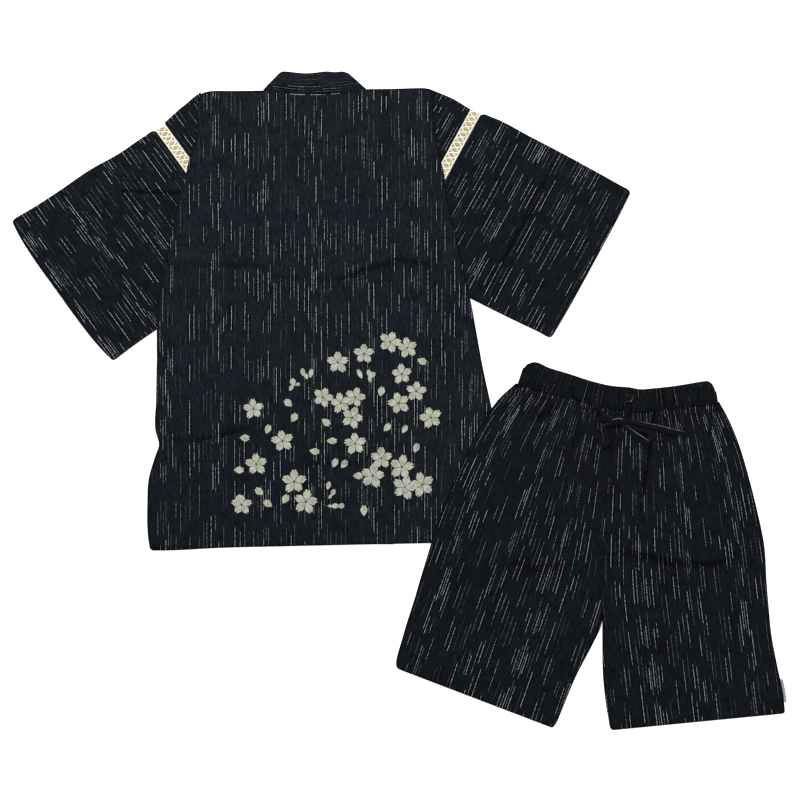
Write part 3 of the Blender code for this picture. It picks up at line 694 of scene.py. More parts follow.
def backTop(x, down, wear=1.0):
    # two layers and a belly of air, raised where the sleeves are tucked in, with the creases,
    # the unevenness of the cloth, a doubled hem and edges that turn down
    depth = depthInside(x, down, backOutline)
    body = 2 * cloth["layer"] + jacketBack["belly"] * ramp(depth / jacketBack["bellyReach"])
    tucked = np.maximum(*[depthInside(x, down, outline) for outline in tuckedOutlines])
    held = ramp((tucked + jacketBack["tuckMargin"] + jacketBack["tuckRamp"]) / jacketBack["tuckRamp"])
    height = body + (jacketBack["tuckLevel"] - body) * held + creaseRise(x, down, jacketBack["creases"])
    height = height + cloth["top"]
    fine = creaseRise(x, down, jacketBack["fineCreases"], taper=True) + rumple(x, down, 11)
    height = height + wear * (fine + jacketBack["rumpleLift"]) * ramp(depth / 40.0)
    hemLine = [jacketBack["sections"][-1][:2], jacketBack["sections"][-1][2:]]
    fromHem = toLine(x, down, hemLine)[0]
    height = height + hemRise(fromHem, jacketBack["hem"], dip=0.35 * wear, dipWidth=1.4)
    slit = ramp((down - jacketBack["slitFrom"]) / 12.0)
    height = height + slit * hemRise(depth, jacketBack["slitHem"], rise=0.25, dip=0.2)
    return height - jacketBack["edgeDrop"] * (1.0 - ramp(depth / jacketBack["edgeRound"]))


def makeJacketBack():
    down = evenShares(jacketBack["rows"], 0.0018)
    across = evenShares(jacketBack["columns"], 0.0024)
    x, downs = spread(backRows, down, across, jacketBack["cornerRound"])
    downs = downs + (1.0 - down[:, None]) ** 4 * neckDip(x)
    sag = sum(fall * hill(x - middle, width) for width, fall, middle in jacketBack["hemSag"])
    downs = downs + sag * ramp((down[:, None] - 0.9) / 0.1)
    height = backTop(x, downs)
    piece = clothPiece(jacket, "jacket_back_cloth", (x, downs, height), (x + 600.0, downs + 40.0),
                       fabric["back"], "jacket_back")
    dips = backTop(x, downs, 0.0) + jacketBack["rumpleLift"] - height
    # painted shade that deepens towards the back's lower left, added to the painted shade in its dips and at
    # its edges
    dark = jacketBack["darkCorner"]
    shade = ramp((downs - dark["from"]) / dark["over"]) * ramp((dark["rightTo"] - x) / dark["leftOver"])
    return paintShade(piece, dips, depthInside(x, downs, backOutline), shade=dark["shade"] * shade)


# Jacket fronts, collar and ties, which lie flat under the back.

fronts = {
    "lap": [(-4, -89), (53, -62), (117, -31), (191, 4), (240, 28), (291, 50), (361, 76), (409, 89),
            (470, 97), (530, 98), (790, 98)],
    "inset": 2.0, "band": 38.0, "bandRun": 860.0, "collarThick": 2.0, "collarWall": 1.6,
    "collarTop": [(-60, -33.5), (-56, -35.3), (-44, -35.2), (-28, -33.4), (-12, -32.6), (5, -34),
                  (18, -35.7), (35, -34.7), (49, -35.5), (58, -33)],
    "collarSeam": 0.84, "collarSeamWidth": 0.035,
}
ties = {
    "width": 20.0,
    # where each starts and ends, and how many layers lie under it
    "laid": {
        "tie_inner_front": ((-148, 458), (-178, 700), 1), "tie_inner_side": ((-258, 480), (-225, 712), 1),
        "tie_outer_front": ((149, 458), (185, 700), 0), "tie_outer_side": ((270, 480), (244, 712), 0),
    },
}


def lapX(down):
    return np.interp(down, [row[0] for row in fronts["lap"]], [row[1] for row in fronts["lap"]])


def lapDown(row, side):
    share = (side * lapX(row[1]) - row[0]) / (row[2] - row[0])
    return row[1] + share * (row[3] - row[1])


def frontSections(side):
    made = []
    for row in backRows:
        down = lapDown(row, side)
        if side > 0:
            made.append((row[0] + fronts["inset"], row[1], lapX(down), down))
        else:
            made.append((-lapX(down), down, row[2] - fronts["inset"], row[3]))
    return made


def collarSections(side):
    made = []
    for row in jacketBack["sections"]:
        down = lapDown(row, side)
        seam = lapX(down) + cloth["gap"]
        made.append((seam, down, seam + fronts["band"], down))
    made[0] = (*made[0][:2], -60, -31)
    made[1] = (*made[1][:2], -41, 7)
    return made


def makeFronts():
    made = {}
    for name, side, level in (("left", 1, 0.0), ("right", -1, cloth["layer"])):
        x, down = spread(frontSections(side), evenShares(80, 0.0025), evenShares(30, 0.006))
        made[name] = clothPiece(jacket, "jacket_front_%s_cloth" % name, (x, down, level + cloth["top"]),
                                (x + 900.0, down + 200.0), fabric["back"], "jacket_front_" + name)
        across = evenShares(8, 0.03)
        x, down = spread(collarSections(side), evenShares(110, 0.002), across)
        height = level + cloth["top"] - 0.1 * hill(across - 0.5, 0.46)
        run = np.linspace(0.0, fronts["bandRun"], x.shape[0])[:, None]
        made["collar_" + name] = clothPiece(
            jacket, "collar_%s_cloth" % name, (side * x, down, height), (across * fronts["band"], run),
            fabric["collar"], "collar_" + name, flipped=side < 0)
    return made


def makeCollarBack():
    # folded band across the back of the neck, whose yarns run along it
    rows = evenShares(64, 0.006)
    top = smoothTable(fronts["collarTop"], rows)
    seamX = -jacketBack["neckHalf"] + 2 * jacketBack["neckHalf"] * rows
    seam = neckSeam(seamX) - cloth["gap"]
    across = evenShares(18, 0.02)
    x = top[:, 0:1] + (seamX - top[:, 0])[:, None] * across
    down = top[:, 1:2] + (seam - top[:, 1])[:, None] * across
    roll = 0.6 * np.sin(math.pi * across) + 0.12 * np.sin(rows[:, None] * 41.0 + across * 2.0) * across
    rolls = softNoise(x * 0.5, down * 2.4, 9.0, 5)
    seamed = hill(across - fronts["collarSeam"], fronts["collarSeamWidth"])
    height = 2 * cloth["layer"] + fronts["collarThick"] + roll
    height = height - 0.5 * (1.0 - ramp(across / 0.08)) + 0.35 * rolls
    height = height - 0.3 * seamed - 0.35 * (1.0 - ramp((1.0 - across) / 0.07))
    piece = clothPiece(jacket, "collar_back_cloth", (x, down, height),
                       (across * fronts["band"] + 52.0, x + 300.0), fabric["collar"], "collar_back",
                       wall=fronts["collarWall"], flipped=True)
    # painted shade at the stitched line, in the rolls' hollows and along the edge at the neck seam
    return paintShade(piece, 0.6 * seamed - 0.8 * rolls, (1.0 - across) * fronts["band"] * 0.95, 3.0)


def makeTies():
    made = []
    for name, (start, end, level) in ties["laid"].items():
        run, fall = end[0] - start[0], end[1] - start[1]
        length = math.hypot(run, fall)
        aside = (fall / length * ties["width"] / 2, -run / length * ties["width"] / 2)
        along, across = np.meshgrid(evenShares(60, 0.006), evenShares(6, 0.05), indexing="ij")
        reach = 2.0 * across - 1.0
        x = start[0] + run * along + aside[0] * reach
        down = start[1] + fall * along + aside[1] * reach
        height = cloth["layer"] * level + cloth["top"] - 0.12 * hill(np.abs(reach) - 1.0, 0.12)
        made.append(clothPiece(jacket, name + "_cloth", (x, down, height),
                               (across * ties["width"], along * length), fabric["collar"], name))
    return made


# Sleeves, shoulder parts and lace.

# Shares of the way round a flattened tube, from its lower edge up the top layer, over the fold, down
# the lower layer and over the other fold, each fold in steps that turn through an angle.
loop = {"top": [0.0, 0.488], "fold": (0.4895, 0.4985, 7), "low": [0.5, 0.988], "foldTurn": 72.0}


def loopSection(ring, closed=True):
    # Flattened tube's section at a share of the way round: how far down it lies (0 to 1), whether
    # on the top layer (1) or the lower one (0), and how far it bulges at a fold.
    steps = loop["fold"][2]
    turn = np.radians(np.linspace(loop["foldTurn"], -loop["foldTurn"], steps))
    at = [loop["top"], np.linspace(*loop["fold"]), loop["low"]]
    share = [[1.0, 0.0], np.zeros(steps), [0.0, 1.0]]
    rise = [[1.0, 1.0], 0.5 + 0.5 * np.sin(turn), [0.0, 0.0]]
    bulge = [[0.0, 0.0], -np.cos(turn), [0.0, 0.0]]
    if closed:
        at.append(np.linspace(*loop["fold"]) + 0.5)
        share.append(np.ones(steps))
        rise.append(0.5 - 0.5 * np.sin(turn))
        bulge.append(np.cos(turn))
        at, share, rise, bulge = at + [[1.0]], share + [[1.0]], rise + [[1.0]], bulge + [[0.0]]
    at = np.concatenate(at)
    return [np.interp(ring, at, np.concatenate(column)) for column in (share, rise, bulge)]


def loopRing(count, closed=True):
    # places round a flattened section, crowded at its folds
    fold = np.linspace(*loop["fold"])
    ring = [np.linspace(*loop["top"], count), fold, np.linspace(*loop["low"], count)]
    if closed:
        ring.append(fold + 0.5)
    return np.concatenate(ring)


def sleeveSurface(arm, reaches, place, ring, closed=True):
    # place runs out along the sleeve from 0 to 1, ring round its flattened section
    place, ring = np.broadcast_arrays(place, ring)
    rows = smoothTable(reaches, place)
    share, rise, bulge = loopSection(ring, closed)
    top = rows[..., 1] + sleeves["foldRound"]
    bottom = rows[..., 2] - sleeves["foldRound"]
    along = top + (bottom - top) * share + sleeves["foldRound"] * bulge
    ends = 1.0 - (2.0 * share - 1.0) ** 4
    out = rows[..., 0]
    outer = ramp((out - sleeves["bowFrom"]) / (sleeves["cuffOut"] - sleeves["bowFrom"]))
    out = out + arm["bow"] * outer * ends
    x, down = fromArmhole(arm, out, along)
    over = overBody(x, down, jacketBack["tuckMargin"], 40.0)
    loose = 1.0 - overBody(x, down, 0.0, 8.0)
    thick = sleeves["flat"] + sleeves["puff"] * (1.0 - over) * ends
    creases = creaseRise(out, along, arm["creases"]) if reaches is arm["sleeve"] else 0.0
    thick = thick + loose * creases
    height = 2 * cloth["layer"] * over + thick * rise
    return x, down, height, out, along, rise * rise * loose * ends


def makeSleeve(name, arm, seed):
    place = evenShares(140, 0.004)[:, None]
    ring = loopRing(124)[None, :]
    x, down, height, out, along, free = sleeveSurface(arm, arm["sleeve"], place, ring)
    fine = creaseRise(out, along, arm["fineCreases"], taper=True) + 0.8 * rumple(out, along, seed)
    fromCuff = out[-1:] - out
    hem = hemRise(fromCuff, sleeves["hem"])
    height = height + free * (fine * ramp(fromCuff / 12.0) + hem - 0.6 * (1.0 - ramp(fromCuff / 3.0)))
    across = np.concatenate([out, out[:, :1]], axis=1) + arm["grainFrom"]
    around = (1.0 - 2.0 * np.append(ring, 1.0)) * sleeves["length"] + 1200.0
    piece = clothPiece(jacket, "sleeve_%s_cloth" % name, (x, down, height), (across, around),
                       fabric["sleeve"], "sleeve_" + name, looped=True, flipped=arm["side"] < 0)
    # painted shade in the creases' troughs and the hem's dip, and along the cuff and the lower fold
    return paintShade(piece, -free * fine - hem, np.minimum(fromCuff, arm["sleeve"][0][2] - 4.0 - along))


def makeShoulder(name, arm, seed):
    place = evenShares(24, 0.01)[:, None]
    ring = loopRing(60, closed=False)[None, :]
    x, down, height, out, along, free = sleeveSurface(arm, arm["shoulder"], place, ring, closed=False)
    height = height + 0.4 * free * rumple(out, along, seed)
    around = (1.0 - 2.0 * ring / ring.max()) * 280.0 + 900.0
    return clothPiece(jacket, "shoulder_%s_cloth" % name, (x, down, height),
                      (out + 700.0 + 30.0 * seed, around), fabric["sleeve"], "shoulder_" + name,
                      flipped=arm["side"] < 0)


# Lace: a fine net laid round the flattened strip, a bold lattice on it and a cord along each edge.

lace = {
    "width": 20.0, "repeat": 20.0, "phases": 2, "netRepeat": 32.0, "netPhases": 12, "steps": 16,
    "bold": (1.15, 0.42), "cord": (1.1, 0.7), "net": (0.5, 0.3),  # half as wide and half as high
    "cream": (0.94, 0.90, 0.755), "creamShade": (0.80, 0.74, 0.58),
    "natural": (0.58, 0.51, 0.35), "naturalShade": (0.44, 0.385, 0.25),
}


def laceThread(name, colour, shade):
    material, wire = newMaterial(name, {
        "Roughness": 0.85, "Specular IOR Level": 0.25, "Sheen Weight": 0.15, "Sheen Roughness": 0.5,
    })
    slub = wire.cloud(420.0, 3.0)
    tone = (0.6 * slub + 0.55 * wire.cloud(60.0, 1.0)).between(0.35, 0.8)
    return wiredUp(material, {"Base Color": wire.mixed(tone, shade, colour),
                              "Normal": wire.bump(slub, 0.0002)})


def laceReach(arm):
    top, bottom = arm["sleeve"][0][1] - 2.6, arm["sleeve"][0][2] + 3.0  # past the sleeve's round corners
    width = lace["width"]
    return [(-width + cloth["gap"], top + 1, bottom - 3), (-width / 2, top + 0.5, bottom - 1.5),
            (-cloth["gap"], top, bottom)]


def makeLace(name, arm, cream, natural):
    # Every strand runs round the strip and swings between its edges as a triangle wave, so that
    # strands of other phases cross it; they weave over and under by a sine of their own.
    reaches = laceReach(arm)
    around = 2.0 * (reaches[-1][2] - reaches[-1][1])

    def strands(period, phases, lift, weave):
        repeats = round(around / period)
        t = np.linspace(0.0, 1.0, repeats * lace["steps"], endpoint=False)
        made = []
        for k in range(phases):
            swing = 1.0 - np.abs(2.0 * np.mod(t * repeats + k / phases, 1.0) - 1.0)
            over = weave * np.sin(math.tau * (2.0 * t * repeats + k / phases))
            x, down, height, _, _, _ = sleeveSurface(arm, reaches, 0.05 + 0.9 * swing, t)
            inward = 1.0 - 1.7 * loopSection(t)[1]
            made.append(worldPoints(jacket, x, down, height + inward + (lift + over) * np.sign(-inward)))
        return np.array(made)

    t = np.linspace(0.0, 1.0, 240, endpoint=False)
    edges = []
    for place in (0.05, 0.95):
        x, down, height, _, _, _ = sleeveSurface(arm, reaches, place, t)
        edges.append(worldPoints(jacket, x, down, height + 0.95 - 1.6 * loopSection(t)[1]))
    lattice = strands(lace["repeat"], lace["phases"], 0.25, 0.15)
    net = strands(lace["netRepeat"], lace["netPhases"], 0.0, 0.12)
    shapes = [
        tubeShape(lattice, lace["bold"], sides=6, closed=True),
        tubeShape(np.array(edges), lace["cord"], sides=8, closed=True),
        tubeShape(net, lace["net"], sides=5, closed=True),
    ]
    piece = newPiece("lace_%s_strip" % name, shapes, [cream, cream, natural])
    return settle(piece, "lace_" + name, slot="cream_lace")


# Blossom print: five notched petals to a flower, loose petals and buds, as a thin film of ink.

blossoms = {
    "ink": (0.32, 0.33, 0.262), "rim": (0.50, 0.51, 0.44), "film": 0.14, "stem": (0.22, 0.1),
    "petalSteps": (10, 14), "notch": 0.25,
    "start": 0.06, "fan": 0.625, "share": 0.325, "faint": (0.05, 0.055, 0.06),
    # x, down, radius and turn in degrees
    "flowers": [
        (130, 430, 19, 20), (160, 440, 17.5, -10), (85, 450, 17.5, 0), (40, 465, 19, 0),
        (150, 485, 17.5, -5), (175, 515, 17.5, 5), (145, 535, 19, -15), (200, 560, 19, -15),
        (-105, 545, 17.5, -5), (-55, 600, 19, -10), (15, 525, 17.5, 20), (45, 535, 17.5, -10),
        (70, 525, 17.5, 15), (65, 560, 19, 20), (70, 605, 19, -5), (-100, 640, 19, -5),
        (-35, 670, 21, 0), (-15, 705, 21, 10), (-125, 710, 17.5, 0), (115, 630, 19, 0),
        (150, 645, 21, 10), (100, 660, 21, 10), (155, 680, 21, 15), (185, 675, 21, -15),
    ],
    # x, down, length, half width and turn in degrees of each loose petal, then of each bud
    "petals": [
        (185, 463, 17, 6, 110), (115, 515, 17, 6, 15), (-45, 535, 17, 6, -50), (-35, 560, 17, 6, 30),
        (-80, 580, 17, 5.5, 20), (-120, 595, 17, 6, 90), (20, 568, 17, 6, 130), (30, 600, 18, 5.5, 90),
        (0, 618, 18, 5.5, 95), (125, 577, 17, 5.5, 40), (155, 580, 16, 4.5, 30), (175, 612, 17, 5.5, 20),
        (35, 638, 17, 5.5, 25), (51, 640, 17, 5.5, 35), (75, 660, 18, 6, 90), (-130, 650, 18, 6, 90),
        (-95, 687, 17, 6, -50), (-130, 700, 17, 6, 30), (-80, 708, 17, 6, -55), (-50, 700, 18, 6, 30),
        (85, 720, 19, 6, 0),
    ],
    "buds": [
        (-20, 482, 14, 4, -10), (-14, 489, 11, 3.5, -20), (-6, 484, 16, 4, 10), (-37, 499, 14, 5, -20),
        (-40, 509, 12, 3.5, 30), (-29, 503, 9, 3, 75), (78, 485, 18, 4, -25), (94, 484, 14, 4, -15),
        (100, 487, 13, 4, 35), (95, 494, 12, 3, -5), (24, 677, 15, 4, 15), (32, 689, 13, 4, 25),
        (27, 696, 9, 2.5, 40), (35, 712, 14, 4.5, 85), (46, 712, 11, 4.5, 60), (26, 712, 8, 2.5, 100),
    ],
    "stems": [
        [(-19, 492), (-14, 500), (-2, 508), (3, 516)], [(-7, 494), (-2, 503), (3, 514)],
        [(-27, 504), (-14, 506), (0, 514)], [(20, 686), (21, 700), (14, 706)],
        [(26, 712), (17, 711), (8, 706)],
        [(96, 500), (97, 510), (98, 519)], [(79, 494), (88, 504), (97, 513)],
    ],
}


def printInk(name, ink):
    material, wire = newMaterial(name, {"Roughness": 0.9, "Specular IOR Level": 0.15})
    across, along = wire.grain()
    worn = wire.noise(across, along, 900.0, 3.0)
    tone = (0.55 * worn + 0.5 * wire.noise(across, along, 120.0, 2.0)).between(0.28, 0.7)
    colour = wire.mixed(tone, [0.66 * part for part in ink], [1.6 * part for part in ink])
    colour = wire.mixed(wire.given("rim") * (0.35 + 0.7 * worn), colour, blossoms["rim"])
    bump = wire.bump(worn + 0.2 * wovenRise(across, along), 0.0002)
    return wiredUp(material, {"Base Color": colour, "Normal": bump})


def petals(rows):
    # Each row is x, down, length, half width, turn and how far from there the petal starts. A petal
    # fans out as far as its fifth of the flower allows, swells to two thirds of its length and rounds
    # in to a broad tip with a notch.
    rows = np.array(rows, dtype=float)[:, :, None, None]
    steps, lanes = blossoms["petalSteps"]
    t = np.linspace(0.0, 1.0, steps + 1)[:, None]
    s = np.linspace(-1.0, 1.0, lanes + 1)[None, :]
    x, down, length, half, turn, start = [rows[:, k] for k in range(6)]
    fan = (start + (length - start) * t) * blossoms["fan"]
    swell = np.sin(0.5 * math.pi * np.clip(t / 0.66, 0.0, 1.0)) ** 0.8
    width = half * swell * (1.0 - 0.3 * np.clip((t - 0.66) / 0.34, 0.0, 1.0) ** 2)
    width = np.where(start > 0.0, np.minimum(fan, width), width)
    tip = 1.0 - blossoms["notch"] * hill(s, 0.17) - 0.08 * s**2 - 0.16 * s**6
    ahead = start + (length - start) * t * (1.0 - (1.0 - tip) * t**2)
    aside = width * s
    turned = np.radians(turn)
    px = x + ahead * np.sin(turned) + aside * np.cos(turned)
    pd = down - ahead * np.cos(turned) + aside * np.sin(turned)
    rim = np.maximum(ramp((np.abs(s) - 0.55) / 0.4), ramp((t - 0.72) / 0.25)) * ramp(t / 0.5)
    return px, pd, rim * np.ones_like(px)


def makePrint(ink, faintInk):
    rows = []
    for x, down, radius, turn in blossoms["flowers"]:
        for k in range(5):
            grown = 1.0 + 0.05 * math.sin(7.0 * x + 2.3 * k)
            rows.append((x, down, radius * grown, radius * blossoms["share"], turn + 72.0 * k,
                         radius * blossoms["start"]))
    for x, down, length, half, turn in blossoms["petals"] + blossoms["buds"]:
        turned = math.radians(turn)
        rows.append((x - 0.5 * length * math.sin(turned), down + 0.5 * length * math.cos(turned), length,
                     half, turn, 0.0))
    x, down, rim = petals(rows)
    index = np.arange(x.size).reshape(x.shape)
    faces = np.stack([index[:, :-1, :-1], index[:, :-1, 1:], index[:, 1:, 1:], index[:, 1:, :-1]], axis=-1)
    faces = faces.reshape(-1, 4)
    # neighbours that overlap lie a hair apart
    stack = 0.012 * (np.arange(len(x)) % 5)[:, None, None] + blossoms["film"]
    points = worldPoints(jacket, x, down, backTop(x, down) + stack).reshape(-1, 3)
    grain = (stacked(x, down).reshape(-1, 2)[faces.ravel()] + 900.0) * 0.001
    film = carry(newPiece("blossom_petals", [(points, [faces], grain)], [ink]), "rim", rim)
    stems = []
    for line in blossoms["stems"]:
        x, down = smoothTable(line, 12).T
        stems.append(worldPoints(jacket, x, down, backTop(x, down) + 0.05))
    stems = newPiece("blossom_stems", [tubeShape(np.array(stems), blossoms["stem"])], [faintInk])
    return [settle(film), settle(stems)]


# Jacket stitching.

def laidLine(line, top, fewest=2):
    # smooth line through points, laid on a surface
    count = max(fewest, int(np.ptp(np.array(line), axis=0).max() / 4))
    x, down = smoothTable(line, count).T
    return stacked(x, down, top(x, down))


def aroundSleeve(arm, reaches, place):
    return stacked(*sleeveSurface(arm, reaches, place, np.linspace(0.02, 0.485, 90))[:3])


def makeJacketStitches(thread):
    sections = jacketBack["sections"]
    leftX, leftDown, rightX, rightDown = sections[-1]
    hem = jacketBack["hem"]
    slit = [row for row in sections[:-1] if row[1] >= 600]
    neck = np.linspace(-84, 84, 60)
    lines = [
        laidLine([(leftX + 4, leftDown - hem), (0, (leftDown + rightDown) / 2 - hem + 0.3),
                  (rightX - 3, rightDown - hem)], backTop),
        laidLine([(row[0] + jacketBack["slitHem"], row[1]) for row in slit], backTop),
        laidLine([(row[2] - jacketBack["slitHem"], row[3]) for row in slit], backTop),
        stacked(neck, neckSeam(neck) + 2.2, backTop(neck, neckSeam(neck) + 2.2)),
    ]
    for arm in (sleeves["left"], sleeves["right"]):
        for part, place in (("sleeve", 0.962), ("sleeve", 0.012), ("shoulder", 0.985)):
            lines.append(aroundSleeve(arm, arm[part], place))
    return stitched(jacket, "jacket_stitching", lines, thread)


def navyThread():
    material, wire = newMaterial("navy thread", {"Roughness": 0.6, "Specular IOR Level": 0.3})
    twist = wire.cloud(2500.0, 1.0)
    colour = wire.mixed(twist, (0.004, 0.005, 0.007), (0.018, 0.022, 0.03))
    return wiredUp(material, {"Base Color": colour, "Normal": wire.bump(twist, 0.0001)})


thread = navyThread()
cream = laceThread("cream lace thread", lace["cream"], lace["creamShade"])
natural = laceThread("natural net thread", lace["natural"], lace["naturalShade"])
backCloth = makeJacketBack()
frontCloths = makeFronts()
collarBack = makeCollarBack()
tieCloths = makeTies()
print("jacket body ready")
sleeveCloths = [makeSleeve(side, sleeves[side], seed) for side, seed in (("left", 21), ("right", 31))]
shoulderCloths = [makeShoulder(side, sleeves[side], seed) for side, seed in (("left", 3), ("right", 4))]
laces = [makeLace(side, sleeves[side], cream, natural) for side in ("left", "right")]
print("sleeves and lace ready")
printed = makePrint(printInk("blossom ink", blossoms["ink"]), printInk("faint stem ink", blossoms["faint"]))
jacketStitches = makeJacketStitches(thread)
print("print and jacket stitches ready")


# Shorts.

shortsCut = {
    "band": [
        (-170, -12, -177, 14), (-163, -23, -171, 14.5), (-153, -28, -160, 15.5), (-123, -21, -127, 20),
        (-88, -14, -91, 25.5), (-52, -6, -54, 32), (-17, -1, -17.5, 38.5), (20, -0.9, 20, 40),
        (32, 0.3, 32, 40), (60, -4, 61, 36), (102, -13, 105, 25), (128, -20, 133, 19.3),
        (141, -23.4, 147, 16.4), (149.5, -24.6, 154, 15), (156, -21.6, 160, 13.8), (162, -13.5, 166.5, 12.8),
        (166, -3, 172, 12),
    ],
    "right": [
        (-179, 14, 1, 41), (-205, 42, 0, 66), (-227, 81, 0, 100), (-241, 113, 0, 130), (-262, 172, -3, 190),
        (-282, 233, -2, 250), (-298, 300, 1, 318), (-309, 355, 5, 372), (-318, 402, 7.5, 414),
        (-325, 434, -4, 446), (-332, 470, -27, 503), (-338, 505, -44, 558), (-337, 519.2, -55.5, 596.6),
    ],
    "left": [
        (1, 41, 173, 12), (0, 66, 190, 36), (0, 100, 213, 78), (0, 130, 226, 108), (-3, 190, 250, 172),
        (-2, 250, 273, 244), (1, 318, 284, 310), (6, 372, 293, 360), (9.5, 414, 301, 400),
        (13, 450, 309.5, 430), (17.5, 490, 318, 458), (26, 535, 330, 495), (40.3, 590.3, 337.3, 532.4),
    ],
    "fly": [
        (2, 42, 61, 40), (1, 100, 59.5, 98), (-1, 150, 57, 150), (-2, 200, 55, 204), (-2, 235, 52, 247),
        (-1, 262, 40, 272), (1, 286, 10, 290),
    ],
    "creases": [
        (13, 1.2, [(19, 286), (93, 283), (131, 297), (190, 282), (262, 262)]),
        (13, 0.8, [(-30, 300), (-110, 318), (-170, 306)]),
    ],
    "fineCreases": [
        (7, -2.0, [(14, 280), (34, 283), (78, 287), (114, 294), (166, 292), (212, 280), (240, 268)]),
        (5, -0.9, [(-34, 308), (-112, 326), (-166, 314)]),
        (4.5, -1.6, [(-105, 22), (-118, 52), (-142, 78)]),
        (6, -0.7, [(-60, 40), (-66, 92), (-82, 150)]),
        (7, 0.7, [(-130, 26), (-150, 70), (-186, 130)]),
        (6, 0.6, [(-30, 46), (-34, 110), (-38, 170)]),
        (6, -0.8, [(78, 40), (84, 90), (92, 150)]),
        (7, 0.7, [(108, 34), (118, 96), (140, 160)]),
        (6, -0.7, [(138, 26), (158, 72), (190, 120)]),
        (12, 0.5, [(-200, 150), (-170, 300), (-220, 470)]),
        (10, 0.45, [(-20, 420), (-80, 460), (-190, 500)]),
        (12, 0.5, [(120, 330), (150, 430), (190, 520)]),
        (9, 0.4, [(30, 400), (90, 420), (200, 404)]),
    ],
    "bandHeight": 5.6, "bandWaves": 18, "bandWaveRise": 0.6, "bandSeam": 0.7, "tuckedIn": 3.0,
    "bandWall": 1.1, "bandInset": 0.012, "bandStitches": (0.1, 0.9), "flyStitch": 5.0,
    "bandLean": -0.09, "bandLength": 860.0,
    "seamUnder": 2.5, "cornerRound": 6.0, "legPuff": 2.0, "legReach": 70.0, "hem": 14.0,
    "gathers": 8, "gatherRise": 1.6, "gatherFade": 55.0, "crotch": 400.0,
    "smallGathers": 23.0, "smallRise": 1.8, "smallFade": 32.0, "smallUneven": 0.9,
    "hemDrop": 0.6, "hemRound": 3.0, "flyLift": 0.3, "flyWear": 0.6, "flyShade": 2.6, "flyShadeWidth": 4.6,
    "lift": 6.4, "liftMargin": 25.0, "liftRamp": 55.0,
    # The yarns lean outwards, in degrees. Above the crotch they straighten towards the centre seam, by
    # a share and over a reach, and the waistband draws them together over the first stretch.
    "yarns": {
        "right": {"lean": 13.5, "straighten": 0.24, "reach": 100.0, "end": 330.0, "grainFrom": 852.5},
        "left": {"lean": 12.5, "straighten": 0.175, "reach": 170.0, "end": 330.0, "grainFrom": 869.6},
    },
    "drawn": 0.2, "drawnOver": 60.0,
}


def floorUnderShorts(x, down):
    world = worldPoints(shorts, x, down, 0.0) * 1000.0
    jacketX, jacketDown = world[..., 0] - jacket["x"], jacket["y"] - world[..., 1]
    return shortsCut["lift"] * overBody(jacketX, jacketDown, shortsCut["liftMargin"], shortsCut["liftRamp"])


bandShares = np.linspace(0.0, 1.0, 161)
bandEnds = smoothTable(shortsCut["band"], bandShares)


def bandBottom(x):
    return np.interp(x, bandEnds[:, 2], bandEnds[:, 3])


def legShare(leg, x, down):
    left = np.interp(down, [row[1] for row in leg], [row[0] for row in leg])
    right = np.interp(down, [row[3] for row in leg], [row[2] for row in leg])
    return (x - left) / (right - left)


def legTop(side, x, down, wear=1.0):
    # a layer with air under it, gathers that fan from the band and die away, and the creases
    leg = shortsCut[side]
    depth = depthInside(x, down, outlineOf(leg))
    below = np.clip(down - bandBottom(x), 0.0, None)
    share = legShare(leg, x, down)
    wave = 0.5 - 0.5 * np.cos(math.tau * shortsCut["gathers"] * share)
    gather = shortsCut["gatherRise"] * wave * np.exp(-below / shortsCut["gatherFade"]) * ramp(below / 9.0)
    uneven = shortsCut["smallUneven"] * softNoise(share * 9.0, below * 0.02, 1.0, 51)
    small = shortsCut["smallRise"] * np.cos(math.tau * (share * shortsCut["smallGathers"] + uneven))
    small = small * np.exp(-below / shortsCut["smallFade"]) * ramp(below / 5.0)
    height = cloth["layer"] + shortsCut["legPuff"] * ramp(depth / shortsCut["legReach"]) + gather
    height = height + creaseRise(x, down, shortsCut["creases"]) + cloth["top"]
    fine = creaseRise(x, down, shortsCut["fineCreases"], taper=True) + rumple(x, down, 61)
    height = height + wear * (fine * ramp(depth / 30.0) + small * ramp(depth / 12.0))
    hem = hemRise(toLine(x, down, [leg[-1][:2], leg[-1][2:]])[0], shortsCut["hem"])
    return height + wear * (hem - shortsCut["hemDrop"] * (1.0 - ramp(depth / shortsCut["hemRound"])))


def leaning(side, x, down):
    # Grain across and along the yarns of a leg. Across is the distance out from the centre seam less a
    # lean that grows with depth; above the crotch a term that fades outwards takes that lean back.
    yarns = shortsCut["yarns"][side]
    lean = math.radians(yarns["lean"])
    out = -x if side == "right" else x
    spot = down - shortsCut["crotch"]
    above = 0.5 * (yarns["end"] - down + np.hypot(yarns["end"] - down, 60.0))
    fade = 1.0 - out / yarns["reach"]
    near = 0.5 * (fade + np.hypot(fade, 0.2))
    drawn = shortsCut["drawn"] * np.exp(-np.clip(down - 30.0, 0.0, None) / shortsCut["drawnOver"])
    across = out * (math.cos(lean) + drawn) - spot * math.sin(lean) - yarns["straighten"] * above * near
    along = spot * math.cos(lean) + out * math.sin(lean)
    return across + yarns["grainFrom"], along + 1000.0


def legGrid(side, downShares, acrossShares, seam):
    # The leg's grid, its top edge moved to the seam, so far below the waistband's lower edge. Above
    # the crotch the right leg's edge runs on under the left leg's.
    half, under = cloth["gap"] / 2, shortsCut["seamUnder"]
    if side == "left":
        leg = [(row[0] + half, *row[1:]) for row in shortsCut[side]]
    else:
        leg = [(*row[:2], row[2] - half + under * (row[3] < shortsCut["crotch"]), row[3])
               for row in shortsCut[side]]
    x, down = spread(leg, downShares, acrossShares, shortsCut["cornerRound"])
    fade = (1.0 - downShares[:, None]) ** 4
    return x, down + fade * (bandBottom(x[0:1]) + seam - down[0:1])


def flyFade(down):
    # 0 along the fly's straight edge and 1 where it curves in below
    return ramp((down - 190.0) / 40.0)


